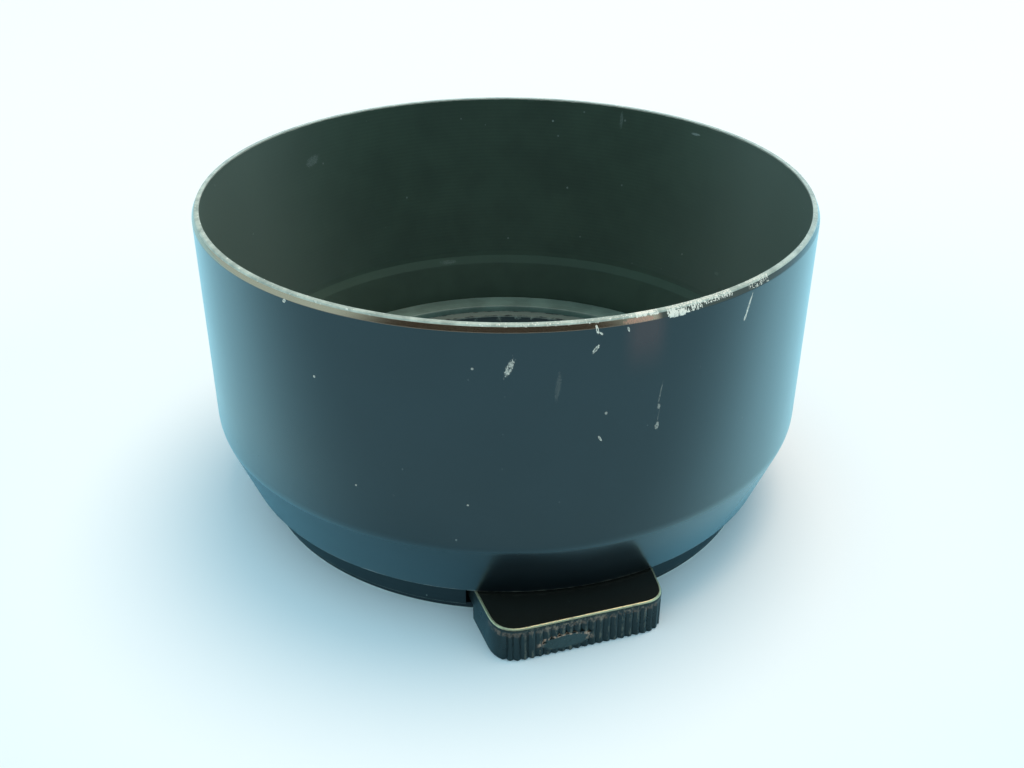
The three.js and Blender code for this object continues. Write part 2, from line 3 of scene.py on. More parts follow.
import bpy
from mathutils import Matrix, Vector


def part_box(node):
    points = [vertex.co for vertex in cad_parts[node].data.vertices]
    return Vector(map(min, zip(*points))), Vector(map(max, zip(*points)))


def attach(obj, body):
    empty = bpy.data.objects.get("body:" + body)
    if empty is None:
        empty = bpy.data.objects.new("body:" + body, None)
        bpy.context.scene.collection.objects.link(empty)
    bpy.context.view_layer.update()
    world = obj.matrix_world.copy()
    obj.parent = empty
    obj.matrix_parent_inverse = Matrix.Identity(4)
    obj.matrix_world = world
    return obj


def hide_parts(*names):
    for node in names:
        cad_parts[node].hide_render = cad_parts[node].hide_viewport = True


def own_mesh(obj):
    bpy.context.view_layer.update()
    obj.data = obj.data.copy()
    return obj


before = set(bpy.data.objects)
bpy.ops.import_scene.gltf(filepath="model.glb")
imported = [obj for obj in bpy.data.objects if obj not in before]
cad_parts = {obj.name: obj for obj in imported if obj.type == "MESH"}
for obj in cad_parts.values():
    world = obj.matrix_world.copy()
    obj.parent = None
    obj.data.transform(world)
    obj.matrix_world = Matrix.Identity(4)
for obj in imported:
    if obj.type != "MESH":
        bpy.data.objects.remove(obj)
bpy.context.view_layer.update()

bl_info = {
    "name": "Clip-on Lens Hood",
    "version": (1, 0, 0),
    "blender": (4, 5, 0),
    "location": "View3D > Sidebar > Lens Hood",
    "description": "Builds the enamelled lens hood with its two squeeze tabs round the packed model",
    "category": "Add Mesh",
}

HOOD_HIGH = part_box("hood_barrel")[1]
MM = 0.001
MERGE = 2e-6
TURNED_STEPS = 240
SMALL_STEPS = 48
SCREW_GAP = 0.03

# Radii and heights of the turned parts, in millimetres.
BORE_R = 27.7
SEAT_R = 27.0
SEAT_OUTER_R = 28.8
LOCK_BORE_R = 28.9
SLEEVE_R = 28.2
BAND_INNER_R = 30.6
COVER_R = 30.9
BAND_R = 31.2
LIP_BORE_R = 31.4
FLANGE_R = 32.0
RECESS_R = 32.1
LEDGE_R = 33.1
BODY_R = 36.0
COVER_TOP = 0.9
CHANNEL_TOP = 4.4
LEDGE_Z = 4.5
LIP_TOP = 5.5
SEAT_Z = 6.0
FLANGE_TOP = 6.8
SEAT_TOP = 7.2
LOCK_TOP = 8.0
CONE_TOP = 12.2
INNER_CONE_TOP = 12.9
INNER_WALL_FOOT = 14.0
INNER_WALL_R = 34.4
INNER_WALL_SLOPE = 0.75 / 24.0
RIM_WIDTH = 0.85
HOOD_TOP = HOOD_HIGH.z / MM

# The latch: arms, tabs and their pivots, in millimetres.
PIVOT = (13.28, -26.17597)
PIVOT_AZ = 26.9
PIVOT_R = 29.352
ARM_FOOT = 1.0
ARM_TOP = 2.0
TAB_FOOT = 0.1
TAB_TOP = 4.35
TAB_ROOT_LEFT_X = -9.6
TAB_ROOT_RIGHT_X = 10.5
TAB_LEFT_DRAFT = 0.17
TAB_RIGHT_DRAFT = 0.01
TAB_FRONT_LEFT = (-8.3165, -38.75)
TAB_FRONT_RIGHT = (10.4465, -36.55)
TAB_LEFT_CORNER = 3.1
TAB_RIGHT_CORNER = 2.45
TAB_INNER_FROM = 20.26
TAB_INNER_TO = -19.2
TAB_INNER_R = 30.4
TAB_INNER_STEP = 2.466
TAB_LIP_Y = -31.0
TAB_SCREWS = ((-4.55, -35.208), (5.45, -34.036))
# A countersunk screw: foot of its head, radius and height of the head, radius and top of its shank.
TAB_SCREW = (0.15, 0.95, 0.45, 0.5, 3.8)
COVER_SCREW = (0.05, 1.05, 0.5, 0.65, 3.6)
COVER_SCREW_R = 29.4
SPRING_X = -4.55
SPRING_Z = 3.175
SPRING_START_Y = -28.15
SPRING_LENGTH = 4.75
SPRING_KEEP = 0.735
POCKET_R = 0.85
PRESS_ANGLE = 4.0
COVER_SCREW_AZ = (91.25, 143.75, 271.25, 323.75)
COVER_SCREW_TURNS = (24, 103, 61, 150)
TAB_SCREW_TURNS = (38, 117, 82, 15)
# Grooves that the worn patch interrupts: the foot of the upper part and the top of the lower part.
SHORT_GROOVES = {
    5: (1.75, 1.25), 6: (2.1, 0.72), 7: (2.3, 0.62), 8: (2.36, 0.6), 9: (2.36, 0.62), 10: (2.3, 0.7), 11: (2.0, 1.1)}
GROOVE_FOOT = -0.3
GROOVE_TOP = 3.5
GROOVE_POINT = 0.42
# Where the ribs start and how far they run, as shares of the way round the tab's front.
RIBS_FROM = 0.11
RIBS_RUN = 0.86


# ---------------------------------------------------------------- settings

class HoodSizes(bpy.types.PropertyGroup):
    """Sizes that a user may change."""

    groove_pitch: bpy.props.FloatProperty(
        name="Groove pitch", description="Distance between the anti-glare grooves inside the barrel",
        default=0.525 * MM, min=0.2 * MM, precision=6, unit="LENGTH", subtype="DISTANCE")
    groove_depth: bpy.props.FloatProperty(
        name="Groove depth", description="How deep each anti-glare groove is cut",
        default=0.055 * MM, min=0.0, precision=6, unit="LENGTH", subtype="DISTANCE")
    groove_count: bpy.props.IntProperty(
        name="Grooves", description="How many anti-glare grooves the barrel has", default=44, min=1)
    edge_rounding: bpy.props.FloatProperty(
        name="Edge rounding", description="Rounding of the turned edges",
        default=0.1 * MM, min=0.0, precision=6, unit="LENGTH", subtype="DISTANCE")
    rim_bevel: bpy.props.FloatProperty(
        name="Rim bevel", description="Width of the worn bevel outside the rim",
        default=0.35 * MM, min=0.0, precision=6, unit="LENGTH", subtype="DISTANCE")
    rib_depth: bpy.props.FloatProperty(
        name="Rib depth", description="Depth of the upright grip grooves of a tab",
        default=0.22 * MM, min=0.0, precision=6, unit="LENGTH", subtype="DISTANCE")
    rib_count: bpy.props.IntProperty(
        name="Ribs", description="How many grip grooves a tab has", default=23, min=1)
    tab_edge: bpy.props.FloatProperty(
        name="Tab edge", description="Width of the rounded edge of a tab",
        default=0.32 * MM, min=0.0, precision=6, unit="LENGTH", subtype="DISTANCE")
    wire_radius: bpy.props.FloatProperty(
        name="Spring wire", description="Radius of the return spring's wire",
        default=0.14 * MM, min=0.0, precision=6, unit="LENGTH", subtype="DISTANCE")
    floor_size: bpy.props.FloatProperty(
        name="Floor size", description="Side of the floor",
        default=6.0, min=0.5, unit="LENGTH", subtype="DISTANCE")


def colour_property(name, description, default, highest_value=1.0):
    return bpy.props.FloatVectorProperty(
        name=name, description=description, default=default, size=3, min=0.0, max=highest_value, subtype="COLOR")


class HoodColours(bpy.types.PropertyGroup):
    """Colours that a user may change."""

    enamel: colour_property("Enamel", "Gloss black enamel outside the barrel", (0.0035, 0.0075, 0.0095))
    flocked: colour_property("Inner black", "Matt black inside the barrel", (0.033, 0.056, 0.034))
    ring_black: colour_property("Ring black", "Satin black of the mount ring", (0.008, 0.014, 0.016))
    # Painted highlight: the lock ring's black is painted far paler than the other blacks, for the light on its upward
    # ledge.
    lock_black: colour_property("Lock ring black", "Satin black of the lock ring", (0.15, 0.215, 0.175))
    cover_black: colour_property("Cover black", "Dull black of the cover plate", (0.011, 0.016, 0.019))
    tab_black: colour_property("Tab black", "Satin black of the squeeze tabs", (0.0045, 0.0065, 0.0055))
    bare_alloy: colour_property("Bare alloy", "Alloy that shows where the enamel is worn", (0.88, 0.80, 0.66))
    bare_brass: colour_property("Bare brass", "Brass that shows where a tab is worn", (0.70, 0.66, 0.42))
    steel: colour_property("Steel", "Spring steel and pins", (0.52, 0.52, 0.50))
    dark_steel: colour_property("Dark steel", "Blackened screws", (0.20, 0.20, 0.19))
    arm_steel: colour_property("Arm steel", "Rolled steel of the latch arms", (0.45, 0.44, 0.41))
    spacer_brass: colour_property("Spacer brass", "Turned brass of the spacers", (0.60, 0.44, 0.19))
    dust: colour_property("Dust", "Dust and lint on the surfaces", (0.42, 0.47, 0.43))
    floor: colour_property("Floor", "Pale floor near the hood", (0.80, 0.865, 0.86))
    # Painted light: the near floor is paler, to lift the hood's shadow there.
    floor_near: colour_property("Near floor", "Pale floor close round the hood", (0.96, 1.0, 1.0))
    # Painted light: the far floor is lighter, towards the lamp.
    floor_far: colour_property("Far floor", "Pale floor behind the hood", (0.915, 0.885, 0.855))
    fill_light: colour_property("Fill light", "Colour of the light from all round", (0.61, 0.925, 1.08), 1.5)
    room: colour_property("Room", "What the camera sees of the room", (0.97, 0.985, 0.975))
    gloss_room: colour_property("Gloss room", "What gloss sees of the room", (0.49, 0.82, 0.92))
    gloss_floor: colour_property("Gloss floor", "What gloss sees of the floor", (0.46, 0.82, 0.94))
    room_dark: colour_property("Dark side", "What gloss sees of the unlit side of the room", (0.025, 0.022, 0.014))
    key_light: colour_property("Key light", "Colour of the soft lamp", (1.0, 0.61, 0.38))


def sizes():
    return bpy.context.scene.hood_sizes


def colours():
    return bpy.context.scene.hood_colours


def tone(colour, factor):
    """A darker or lighter tone of a colour."""
    return tuple(min(1.0, part * factor) for part in colour)


# ---------------------------------------------------------------- modelling

def deselect_all():
    if bpy.context.object and bpy.context.object.mode != "OBJECT":
        bpy.ops.object.mode_set(mode="OBJECT")
    bpy.ops.object.select_all(action="DESELECT")


def select_only(piece):
    deselect_all()
    piece.select_set(True)
    bpy.context.view_layer.objects.active = piece


def edit_all(piece):
    select_only(piece)
    bpy.ops.object.mode_set(mode="EDIT")
    bpy.ops.mesh.select_all(action="SELECT")


def leave_edit():
    bpy.ops.object.mode_set(mode="OBJECT")


def place(azimuth, radius, height=0.0):
    """A point from degrees round from -Y towards +X, a radius and a height in millimetres."""
    turn = math.radians(azimuth)
    return Vector((radius * math.sin(turn), -radius * math.cos(turn), height)) * MM


def arc(radius, start, end, step=3.0, height=0.0):
    count = max(1, round(abs(end - start) / step))
    return [place(start + (end - start) * i / count, radius, height) for i in range(count + 1)]


def profile(corners, x=0.0, y=0.0, steps=3):
    """Points of a turned outline from (radius, height, rounding) corners in millimetres, beside an axis at x, y."""
    points = []
    for i, (radius, height, rounding) in enumerate(corners):
        here = Vector((radius, height))
        if rounding <= 0:
            points.append(here)
            continue
        before = Vector(corners[i - 1][:2])
        after = Vector(corners[(i + 1) % len(corners)][:2])
        first = here + (before - here).normalized() * rounding
        last = here + (after - here).normalized() * rounding
        for k in range(steps + 1):
            t = k / steps
            points.append(first * (1 - t) ** 2 + here * 2 * t * (1 - t) + last * t ** 2)
    return [Vector((x + p[0], y, p[1])) * MM for p in points]


def draw_outline(name, points, closed=True):
    """Draws an outline by extruding one vertex from point to point."""
    deselect_all()
    bpy.ops.mesh.primitive_plane_add(size=MM, location=points[0])
    piece = bpy.context.object
    piece.name = piece.data.name = name
    bpy.ops.object.transform_apply(location=True, rotation=True, scale=True)
    bpy.ops.object.mode_set(mode="EDIT")
    bpy.ops.mesh.select_all(action="SELECT")
    bpy.ops.mesh.merge(type="CENTER")
    pen = Vector(points[0])
    for point in list(points[1:]) + ([points[0]] if closed else []):
        bpy.ops.mesh.extrude_region_move(TRANSFORM_OT_translate={"value": Vector(point) - pen})
        pen = Vector(point)
    bpy.ops.mesh.select_all(action="SELECT")
    bpy.ops.mesh.remove_doubles(threshold=MERGE)
    leave_edit()
    return piece


def tidy_mesh(piece):
    """Merges doubles, closes what is open and turns the faces outwards."""
    edit_all(piece)
    bpy.ops.mesh.remove_doubles(threshold=MERGE)
    bpy.ops.mesh.fill_holes(sides=0)
    bpy.ops.mesh.select_all(action="SELECT")
    bpy.ops.mesh.normals_make_consistent(inside=False)
    leave_edit()
    return piece


def turned(name, points, steps=TURNED_STEPS, x=0.0, y=0.0):
    """Spins an outline about the upright axis at x, y. An outline that starts and ends on the axis stays open there."""
    on_axis = abs(points[0].x - x * MM) < 1e-7 and abs(points[-1].x - x * MM) < 1e-7
    piece = draw_outline(name, points, not on_axis)
    edit_all(piece)
    bpy.ops.mesh.spin(
        steps=steps, angle=2 * math.pi, use_auto_merge=True,
        center=(x * MM, y * MM, 0.0), axis=(0.0, 0.0, 1.0))
    leave_edit()
    return tidy_mesh(piece)


def small_turned(name, corners, x=0.0, y=0.0):
    return turned(name, profile(corners, x, y), SMALL_STEPS, x, y)


def sector(name, inner, outer, start, end, low, high, step=1.5):
    """A solid part of a ring, from azimuth start to azimuth end."""
    rounded = arc(outer, start, end, step, low) + arc(inner, end, start, step, low)
    return plate(name, rounded, high - low)


def plate(name, outline, thickness):
    """A flat solid: an outline filled and extruded upwards by a thickness in millimetres."""
    piece = draw_outline(name, outline)
    edit_all(piece)
    bpy.ops.mesh.edge_face_add()
    bpy.ops.mesh.extrude_region_move(TRANSFORM_OT_translate={"value": (0.0, 0.0, thickness * MM)})
    leave_edit()
    return tidy_mesh(piece)


def box_between(name, low, high):
    """A box cutter between two corners in millimetres."""
    deselect_all()
    centre = (Vector(low) + Vector(high)) / 2 * MM
    bpy.ops.mesh.primitive_cube_add(size=1.0, location=centre)
    piece = bpy.context.object
    piece.name = piece.data.name = name
    piece.scale = (Vector(high) - Vector(low)) * MM
    bpy.ops.object.transform_apply(location=True, rotation=True, scale=True)
    return piece


def turn_piece(piece, turn, centre=(0.0, 0.0)):
    """Turns a piece by degrees about an upright axis in millimetres."""
    if turn:
        edit_all(piece)
        bpy.ops.transform.rotate(
            value=math.radians(-turn), orient_axis="Z", center_override=(centre[0] * MM, centre[1] * MM, 0.0))
        leave_edit()


def copy_of(piece, name, turn=0.0, centre=(0.0, 0.0)):
    """A copy with its own mesh, turned by degrees about an upright axis in millimetres."""
    made = piece.copy()
    made.data = piece.data.copy()
    made.name = made.data.name = name
    bpy.context.scene.collection.objects.link(made)
    turn_piece(made, turn, centre)
    return made


def moved_copy(piece, name, shift):
    made = copy_of(piece, name)
    edit_all(made)
    bpy.ops.transform.translate(value=Vector(shift))
    leave_edit()
    return made


def joined(pieces):
    if len(pieces) > 1:
        deselect_all()
        for piece in pieces:
            piece.select_set(True)
        bpy.context.view_layer.objects.active = pieces[0]
        bpy.ops.object.join()
    return pieces[0]


def cut_away(piece, cutters):
    """Takes cutters that don't touch one another out of a piece."""
    cutter = joined(cutters)
    select_only(piece)
    bpy.ops.object.modifier_add(type="BOOLEAN")
    modifier = piece.modifiers[-1]
    modifier.operation = "DIFFERENCE"
    modifier.solver = "EXACT"
    modifier.object = cutter
    bpy.ops.object.modifier_apply(modifier=modifier.name)
    bpy.data.objects.remove(cutter)
    return piece


def on_both_sides(cutter):
    return [cutter, copy_of(cutter, cutter.name + "_opposite", 180)]


def soften(piece, width, steps=2, angle=40.0):
    """Bevels the sharp edges by a width in millimetres."""
    select_only(piece)
    bpy.ops.object.modifier_add(type="BEVEL")
    modifier = piece.modifiers[-1]
    modifier.width = width * MM
    modifier.segments = steps
    modifier.limit_method = "ANGLE"
    modifier.angle_limit = math.radians(angle)
    modifier.use_clamp_overlap = True
    bpy.ops.object.modifier_apply(modifier=modifier.name)
    return piece


def shade(piece, angle=30.0):
    select_only(piece)
    bpy.ops.object.shade_smooth_by_angle(angle=math.radians(angle))
    return piece


def coat(piece, *materials):
    piece.data.materials.clear()
    for material in materials:
        piece.data.materials.append(material)
    return piece


def coat_faces(piece, index, wanted):
    """Gives the faces that pass a test the material of that index."""
    select_only(piece)
    for polygon in piece.data.polygons:
        if wanted(polygon):
            polygon.material_index = index


def settle(piece, body, node):
    """Puts a finished piece in place of its CAD node."""
    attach(piece, body)
    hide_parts(node)
    return piece


def settle_pair(front, body, node):
    """Copies a finished front piece to the back and settles both. Gives each piece, its side and its sign."""
    back = copy_of(front, front.name.replace("front", "back"), 180)
    pair = ((front, "front", 1), (back, "back", -1))
    for piece, side, _ in pair:
        settle(piece, body.format(side), f"{node}_{side}")
    return pair


# ---------------------------------------------------------------- shader nodes

class Wire:
    """A number or colour that leaves a node. Arithmetic on it adds Math nodes."""

    def __init__(self, sheet, socket):
        self.sheet = sheet
        self.socket = socket

    def __add__(self, other):
        return self.sheet.math("ADD", self, other)

    def __radd__(self, other):
        return self.sheet.math("ADD", other, self)

    def __sub__(self, other):
        return self.sheet.math("SUBTRACT", self, other)

    def __rsub__(self, other):
        return self.sheet.math("SUBTRACT", other, self)

    def __mul__(self, other):
        return self.sheet.math("MULTIPLY", self, other)

    def __rmul__(self, other):
        return self.sheet.math("MULTIPLY", other, self)

    def __truediv__(self, other):
        return self.sheet.math("DIVIDE", self, other)

    def __rtruediv__(self, other):
        return self.sheet.math("DIVIDE", other, self)


class Sheet:
    """One node tree, with short ways to add and join its nodes."""

    def __init__(self, tree):
        self.tree = tree
        self.count = 0

    def add(self, kind, **values):
        node = self.tree.nodes.new(kind)
        node.location = (200 * (self.count % 12), -240 * (self.count // 12))
        self.count += 1
        for name, value in values.items():
            setattr(node, name, value)
        return node

    def feed(self, socket, value):
        if isinstance(value, Wire):
            value = value.socket
        if isinstance(value, bpy.types.NodeSocket):
            self.tree.links.new(value, socket)
        elif value is not None:
            if hasattr(socket.default_value, "__len__") and not hasattr(value, "__len__"):
                value = (value,) * len(socket.default_value)
            if socket.type == "RGBA" and len(value) == 3:
                value = (*value, 1.0)
            socket.default_value = value

    def math(self, operation, a, b=None, c=None, clamp=False):
        node = self.add("ShaderNodeMath", operation=operation, use_clamp=clamp)
        for socket, value in zip(node.inputs, (a, b, c)):
            self.feed(socket, value)
        return Wire(self, node.outputs[0])

    def mix(self, share, a, b):
        """Mixes two colours."""
        node = self.add("ShaderNodeMix", data_type="RGBA")
        for index, value in ((0, share), (6, a), (7, b)):
            self.feed(node.inputs[index], value)
        return Wire(self, node.outputs[2])

    def blend(self, share, a, b):
        """Mixes two numbers."""
        node = self.add("ShaderNodeMix", data_type="FLOAT")
        for index, value in ((0, share), (2, a), (3, b)):
            self.feed(node.inputs[index], value)
        return Wire(self, node.outputs[0])

    def ramp(self, value, low, high, start=0.0, end=1.0):
        """A smooth step from start to end as value goes from low to high."""
        node = self.add("ShaderNodeMapRange", interpolation_type="SMOOTHSTEP")
        for socket, number in zip(node.inputs, (value, low, high, start, end)):
            self.feed(socket, number)
        return Wire(self, node.outputs[0])

    def within(self, value, low, high, soft):
        """1 between low and high, fading out over soft on both sides."""
        rise = self.ramp(value, low - soft, low)
        fall = self.ramp(value, high, high + soft, 1.0, 0.0)
        return rise * fall

    def noise(self, vector, scale, detail=3.0, roughness=0.55):
        node = self.add("ShaderNodeTexNoise")
        self.feed(node.inputs["Vector"], vector)
        for name, value in (("Scale", scale), ("Detail", detail), ("Roughness", roughness)):
            self.feed(node.inputs[name], value)
        return Wire(self, node.outputs["Fac"])

    def stretched(self, x=1, y=1, z=1):
        """Object coordinates in millimetres, stretched by factors."""
        where = self.add("ShaderNodeTexCoord")
        node = self.add("ShaderNodeMapping")
        self.feed(node.inputs["Vector"], where.outputs["Object"])
        node.inputs["Scale"].default_value = (x / MM, y / MM, z / MM)
        return node.outputs["Vector"]

    def parts(self, vector, kind="ShaderNodeSeparateXYZ"):
        """The x, y and z of a vector, or the three parts of a colour."""
        node = self.add(kind)
        self.feed(node.inputs[0], vector)
        return [Wire(self, socket) for socket in node.outputs]

    def vector(self, x, y, z):
        node = self.add("ShaderNodeCombineXYZ")
        for socket, value in zip(node.inputs, (x, y, z)):
            self.feed(socket, value)
        return node.outputs[0]

    def use(self, group, **values):
        """Places a node group and gives its outputs by name."""
        node = self.add("ShaderNodeGroup", node_tree=bpy.data.node_groups[group])
        for name, value in values.items():
            self.feed(node.inputs[name.replace("_", " ")], value)
        return {socket.name: Wire(self, socket) for socket in node.outputs}


def new_group(name, inputs, outputs):
    """A shader node group with named inputs {name: default} and outputs, which are numbers."""
    tree = bpy.data.node_groups.new(name, "ShaderNodeTree")
    for label, default in inputs.items():
        socket = tree.interface.new_socket(label, in_out="INPUT", socket_type="NodeSocketFloat")
        socket.default_value = default
    for label in outputs:
        tree.interface.new_socket(label, in_out="OUTPUT", socket_type="NodeSocketFloat")
    sheet = Sheet(tree)
    given = sheet.add("NodeGroupInput")
    result = sheet.add("NodeGroupOutput")
    return sheet, {socket.name: Wire(sheet, socket) for socket in given.outputs}, result.inputs


def build_turned_place():
    """Where a point lies on a turned part: azimuth in degrees, radius and height in millimetres."""
    sheet, _, result = new_group(
        "turned_place", {},
        ("Azimuth", "Radius", "Height"))
    x, y, z = sheet.parts(sheet.stretched())
    turn = sheet.math("ARCTAN2", x, y * -1.0)
    sheet.feed(result["Azimuth"], sheet.math("DEGREES", turn))
    square = x * x + y * y
    sheet.feed(result["Radius"], sheet.math("SQRT", square))
    sheet.feed(result["Height"], z)


def build_scratch():
    """One short scratch or chip on a turned wall, ragged at its edge."""
    sheet, given, result = new_group(
        "scratch",
        {"Azimuth": 0.0, "Height": 0.0, "Length": 1.0, "Width": 0.2, "Lean": 0.0, "Ragged": 0.6, "Strength": 1.0,
         "Hollow": 0.0},
        ("Mask",))
    where = sheet.use("turned_place")
    across = (where["Azimuth"] - given["Azimuth"]) * (BODY_R * math.pi / 180)
    up = where["Height"] - given["Height"]
    lean = sheet.math("RADIANS", given["Lean"])
    sine, cosine = sheet.math("SINE", lean), sheet.math("COSINE", lean)
    along = across * sine + up * cosine
    beside = across * cosine - up * sine
    far_along = along * 2.0 / given["Length"]
    far_beside = beside * 2.0 / given["Width"]
    square = far_along * far_along + far_beside * far_beside
    far = sheet.math("SQRT", square)
    rough = sheet.noise(sheet.stretched(), 7.0, 3.0, 0.7) - 0.5
    far = far + rough * (given["Ragged"] * 2.4)
    # A hollow scratch keeps only its outline.
    hollow = sheet.math("ABSOLUTE", far - given["Hollow"])
    far = hollow * (1.0 + given["Hollow"] * 2.2)
    mask = sheet.ramp(far, 0.7, 1.1, 1.0, 0.0)
    broken = sheet.ramp(sheet.noise(sheet.stretched(1.4, 1.4, 0.7), 6.5, 4.0, 0.75), 0.42, 0.56)
    mask = mask * sheet.blend(given["Ragged"], 1.0, broken)
    sheet.feed(result["Mask"], mask * given["Strength"])


def build_edge_wear():
    """Enamel worn through along a turned edge, patchy along it."""
    sheet, given, result = new_group(
        "edge_wear",
        {"Radius": 36.0, "Height": 38.0, "Reach": 0.2, "Patchiness": 0.5, "Patch Size": 1.0},
        ("Mask",))
    where = sheet.use("turned_place")
    out = where["Radius"] - given["Radius"]
    up = where["Height"] - given["Height"]
    far = sheet.math("SQRT", out * out + up * up)
    scale = 1.0 / given["Patch Size"]
    node = sheet.noise(sheet.stretched(), scale, 4.0, 0.65)
    uneven = (node - 0.5) * (given["Patchiness"] * 4.0)
    share = far / given["Reach"] + uneven
    sheet.feed(result["Mask"], sheet.ramp(share, 0.7, 1.1, 1.0, 0.0))


def build_chipped_stretch():
    """Chips crowded on a stretch of a turned wall between two azimuths and two heights."""
    sheet, given, result = new_group(
        "chipped_stretch",
        {"From": 0.0, "To": 10.0, "Low": 0.0, "High": 1.0, "Soft": 2.0, "Amount": 0.5, "Chip Size": 0.4},
        ("Mask",))
    where = sheet.use("turned_place")
    region = (sheet.within(where["Azimuth"], given["From"], given["To"], given["Soft"])
              * sheet.within(where["Height"], given["Low"], given["High"], 0.3))
    scale = 1.0 / given["Chip Size"]
    chips = sheet.noise(sheet.stretched(1.5, 1.5, 0.6), scale, 6.0, 0.72)
    limit = 0.78 - given["Amount"] * 0.45
    reach = limit + (1.0 - region) * 0.6
    mask = sheet.ramp(chips - reach, 0.0, 0.03)
    sheet.feed(result["Mask"], mask * sheet.ramp(region, 0.02, 0.2))


def build_specks():
    """Dust grains and lint scattered over a surface."""
    sheet, given, result = new_group(
        "specks", {"Spacing": 1.0, "Size": 0.12, "Share": 0.2}, ("Mask",))
    cells = sheet.add("ShaderNodeTexVoronoi")
    sheet.feed(cells.inputs["Vector"], sheet.stretched(1, 1, 0.8))
    sheet.feed(cells.inputs["Scale"], 1.0 / given["Spacing"])
    first, second, _ = sheet.parts(cells.outputs["Color"], "ShaderNodeSeparateColor")
    size = given["Size"] / given["Spacing"] * (second + 0.3)
    near = sheet.ramp(cells.outputs["Distance"], size * 0.6, size, 1.0, 0.0)
    chosen = sheet.math("LESS_THAN", first, given["Share"])
    sheet.feed(result["Mask"], near * chosen)


def build_fine_grain():
    """Fine grain of a sprayed or blasted finish: a height, and broad clouds of variation."""
    sheet, given, result = new_group(
        "fine_grain", {"Grain Size": 0.1, "Cloud Size": 8.0},
        ("Grain", "Clouds"))
    place_mm = sheet.stretched()
    grain = sheet.noise(place_mm, 1.0 / given["Grain Size"], 2.0, 0.6)
    sheet.feed(result["Grain"], grain)
    sheet.feed(result["Clouds"], sheet.noise(place_mm, 1.0 / given["Cloud Size"], 4.0, 0.6))


def build_turning_lines():
    """Fine lines left by the lathe, running round the part."""
    sheet, given, result = new_group(
        "turning_lines", {"Line Width": 0.05}, ("Lines", "Bands"))
    where = sheet.use("turned_place")
    seam = sheet.math("COSINE", sheet.math("RADIANS", where["Azimuth"])) * 0.08
    line = sheet.vector(where["Radius"], where["Height"], seam)
    sheet.feed(result["Lines"], sheet.noise(line, 1.0 / given["Line Width"], 2.0, 0.6))
    sheet.feed(result["Bands"], sheet.noise(line, 1.6, 3.0, 0.6))


def build_hairlines():
    """Straight rubbing scratches that run one way over a flat face."""
    sheet, given, result = new_group(
        "hairlines", {"Turn": 0.0, "Spacing": 0.6, "Amount": 0.5}, ("Mask",))
    x, y, z = sheet.parts(sheet.stretched())
    turn = sheet.math("RADIANS", given["Turn"])
    sine, cosine = sheet.math("SINE", turn), sheet.math("COSINE", turn)
    along = x * cosine + y * sine
    across = y * cosine - x * sine
    lines = sheet.noise(sheet.vector(along * 0.06, across / given["Spacing"], z * 0.8), 4.0, 4.0, 0.8)
    limit = 0.74 - given["Amount"] * 0.12
    sheet.feed(result["Mask"], sheet.ramp(lines - limit, 0.0, 0.05))


def build_node_groups():
    build_turned_place()
    build_scratch()
    build_edge_wear()
    build_chipped_stretch()
    build_specks()
    build_fine_grain()
    build_turning_lines()
    build_hairlines()


def new_material(name):
    """A material with its Principled shader, and the sheet of its nodes."""
    material = bpy.data.materials.new(name)
    material.use_nodes = True
    sheet = Sheet(material.node_tree)
    shader = next(n for n in material.node_tree.nodes if n.type == "BSDF_PRINCIPLED")
    shader.location = (2700, 300)
    next(n for n in material.node_tree.nodes if n.type == "OUTPUT_MATERIAL").location = (3000, 300)
    return material, sheet, shader


def finish_material(sheet, shader, colour, roughness, metallic, height, strength, distance=0.02):
    """Joins colour, roughness, metal and relief to the shader. The relief's distance is in millimetres."""
    sheet.feed(shader.inputs["Base Color"], colour)
    sheet.feed(shader.inputs["Roughness"], roughness)
    sheet.feed(shader.inputs["Metallic"], metallic)
    bump = sheet.add("ShaderNodeBump")
    bump.inputs["Strength"].default_value = strength
    bump.inputs["Distance"].default_value = distance * MM
    sheet.feed(bump.inputs["Height"], height)
    sheet.feed(shader.inputs["Normal"], bump.outputs[0])


def worn_edge(sheet, radius, height, reach, patchiness, patch_size):
    """Where a turned edge is worn through."""
    return sheet.use(
        "edge_wear", Radius=radius, Height=height, Reach=reach, Patchiness=patchiness, Patch_Size=patch_size)["Mask"]


def highest(sheet, masks):
    total = masks[0]
    for mask in masks[1:]:
        total = sheet.math("MAXIMUM", total, mask)
    return total


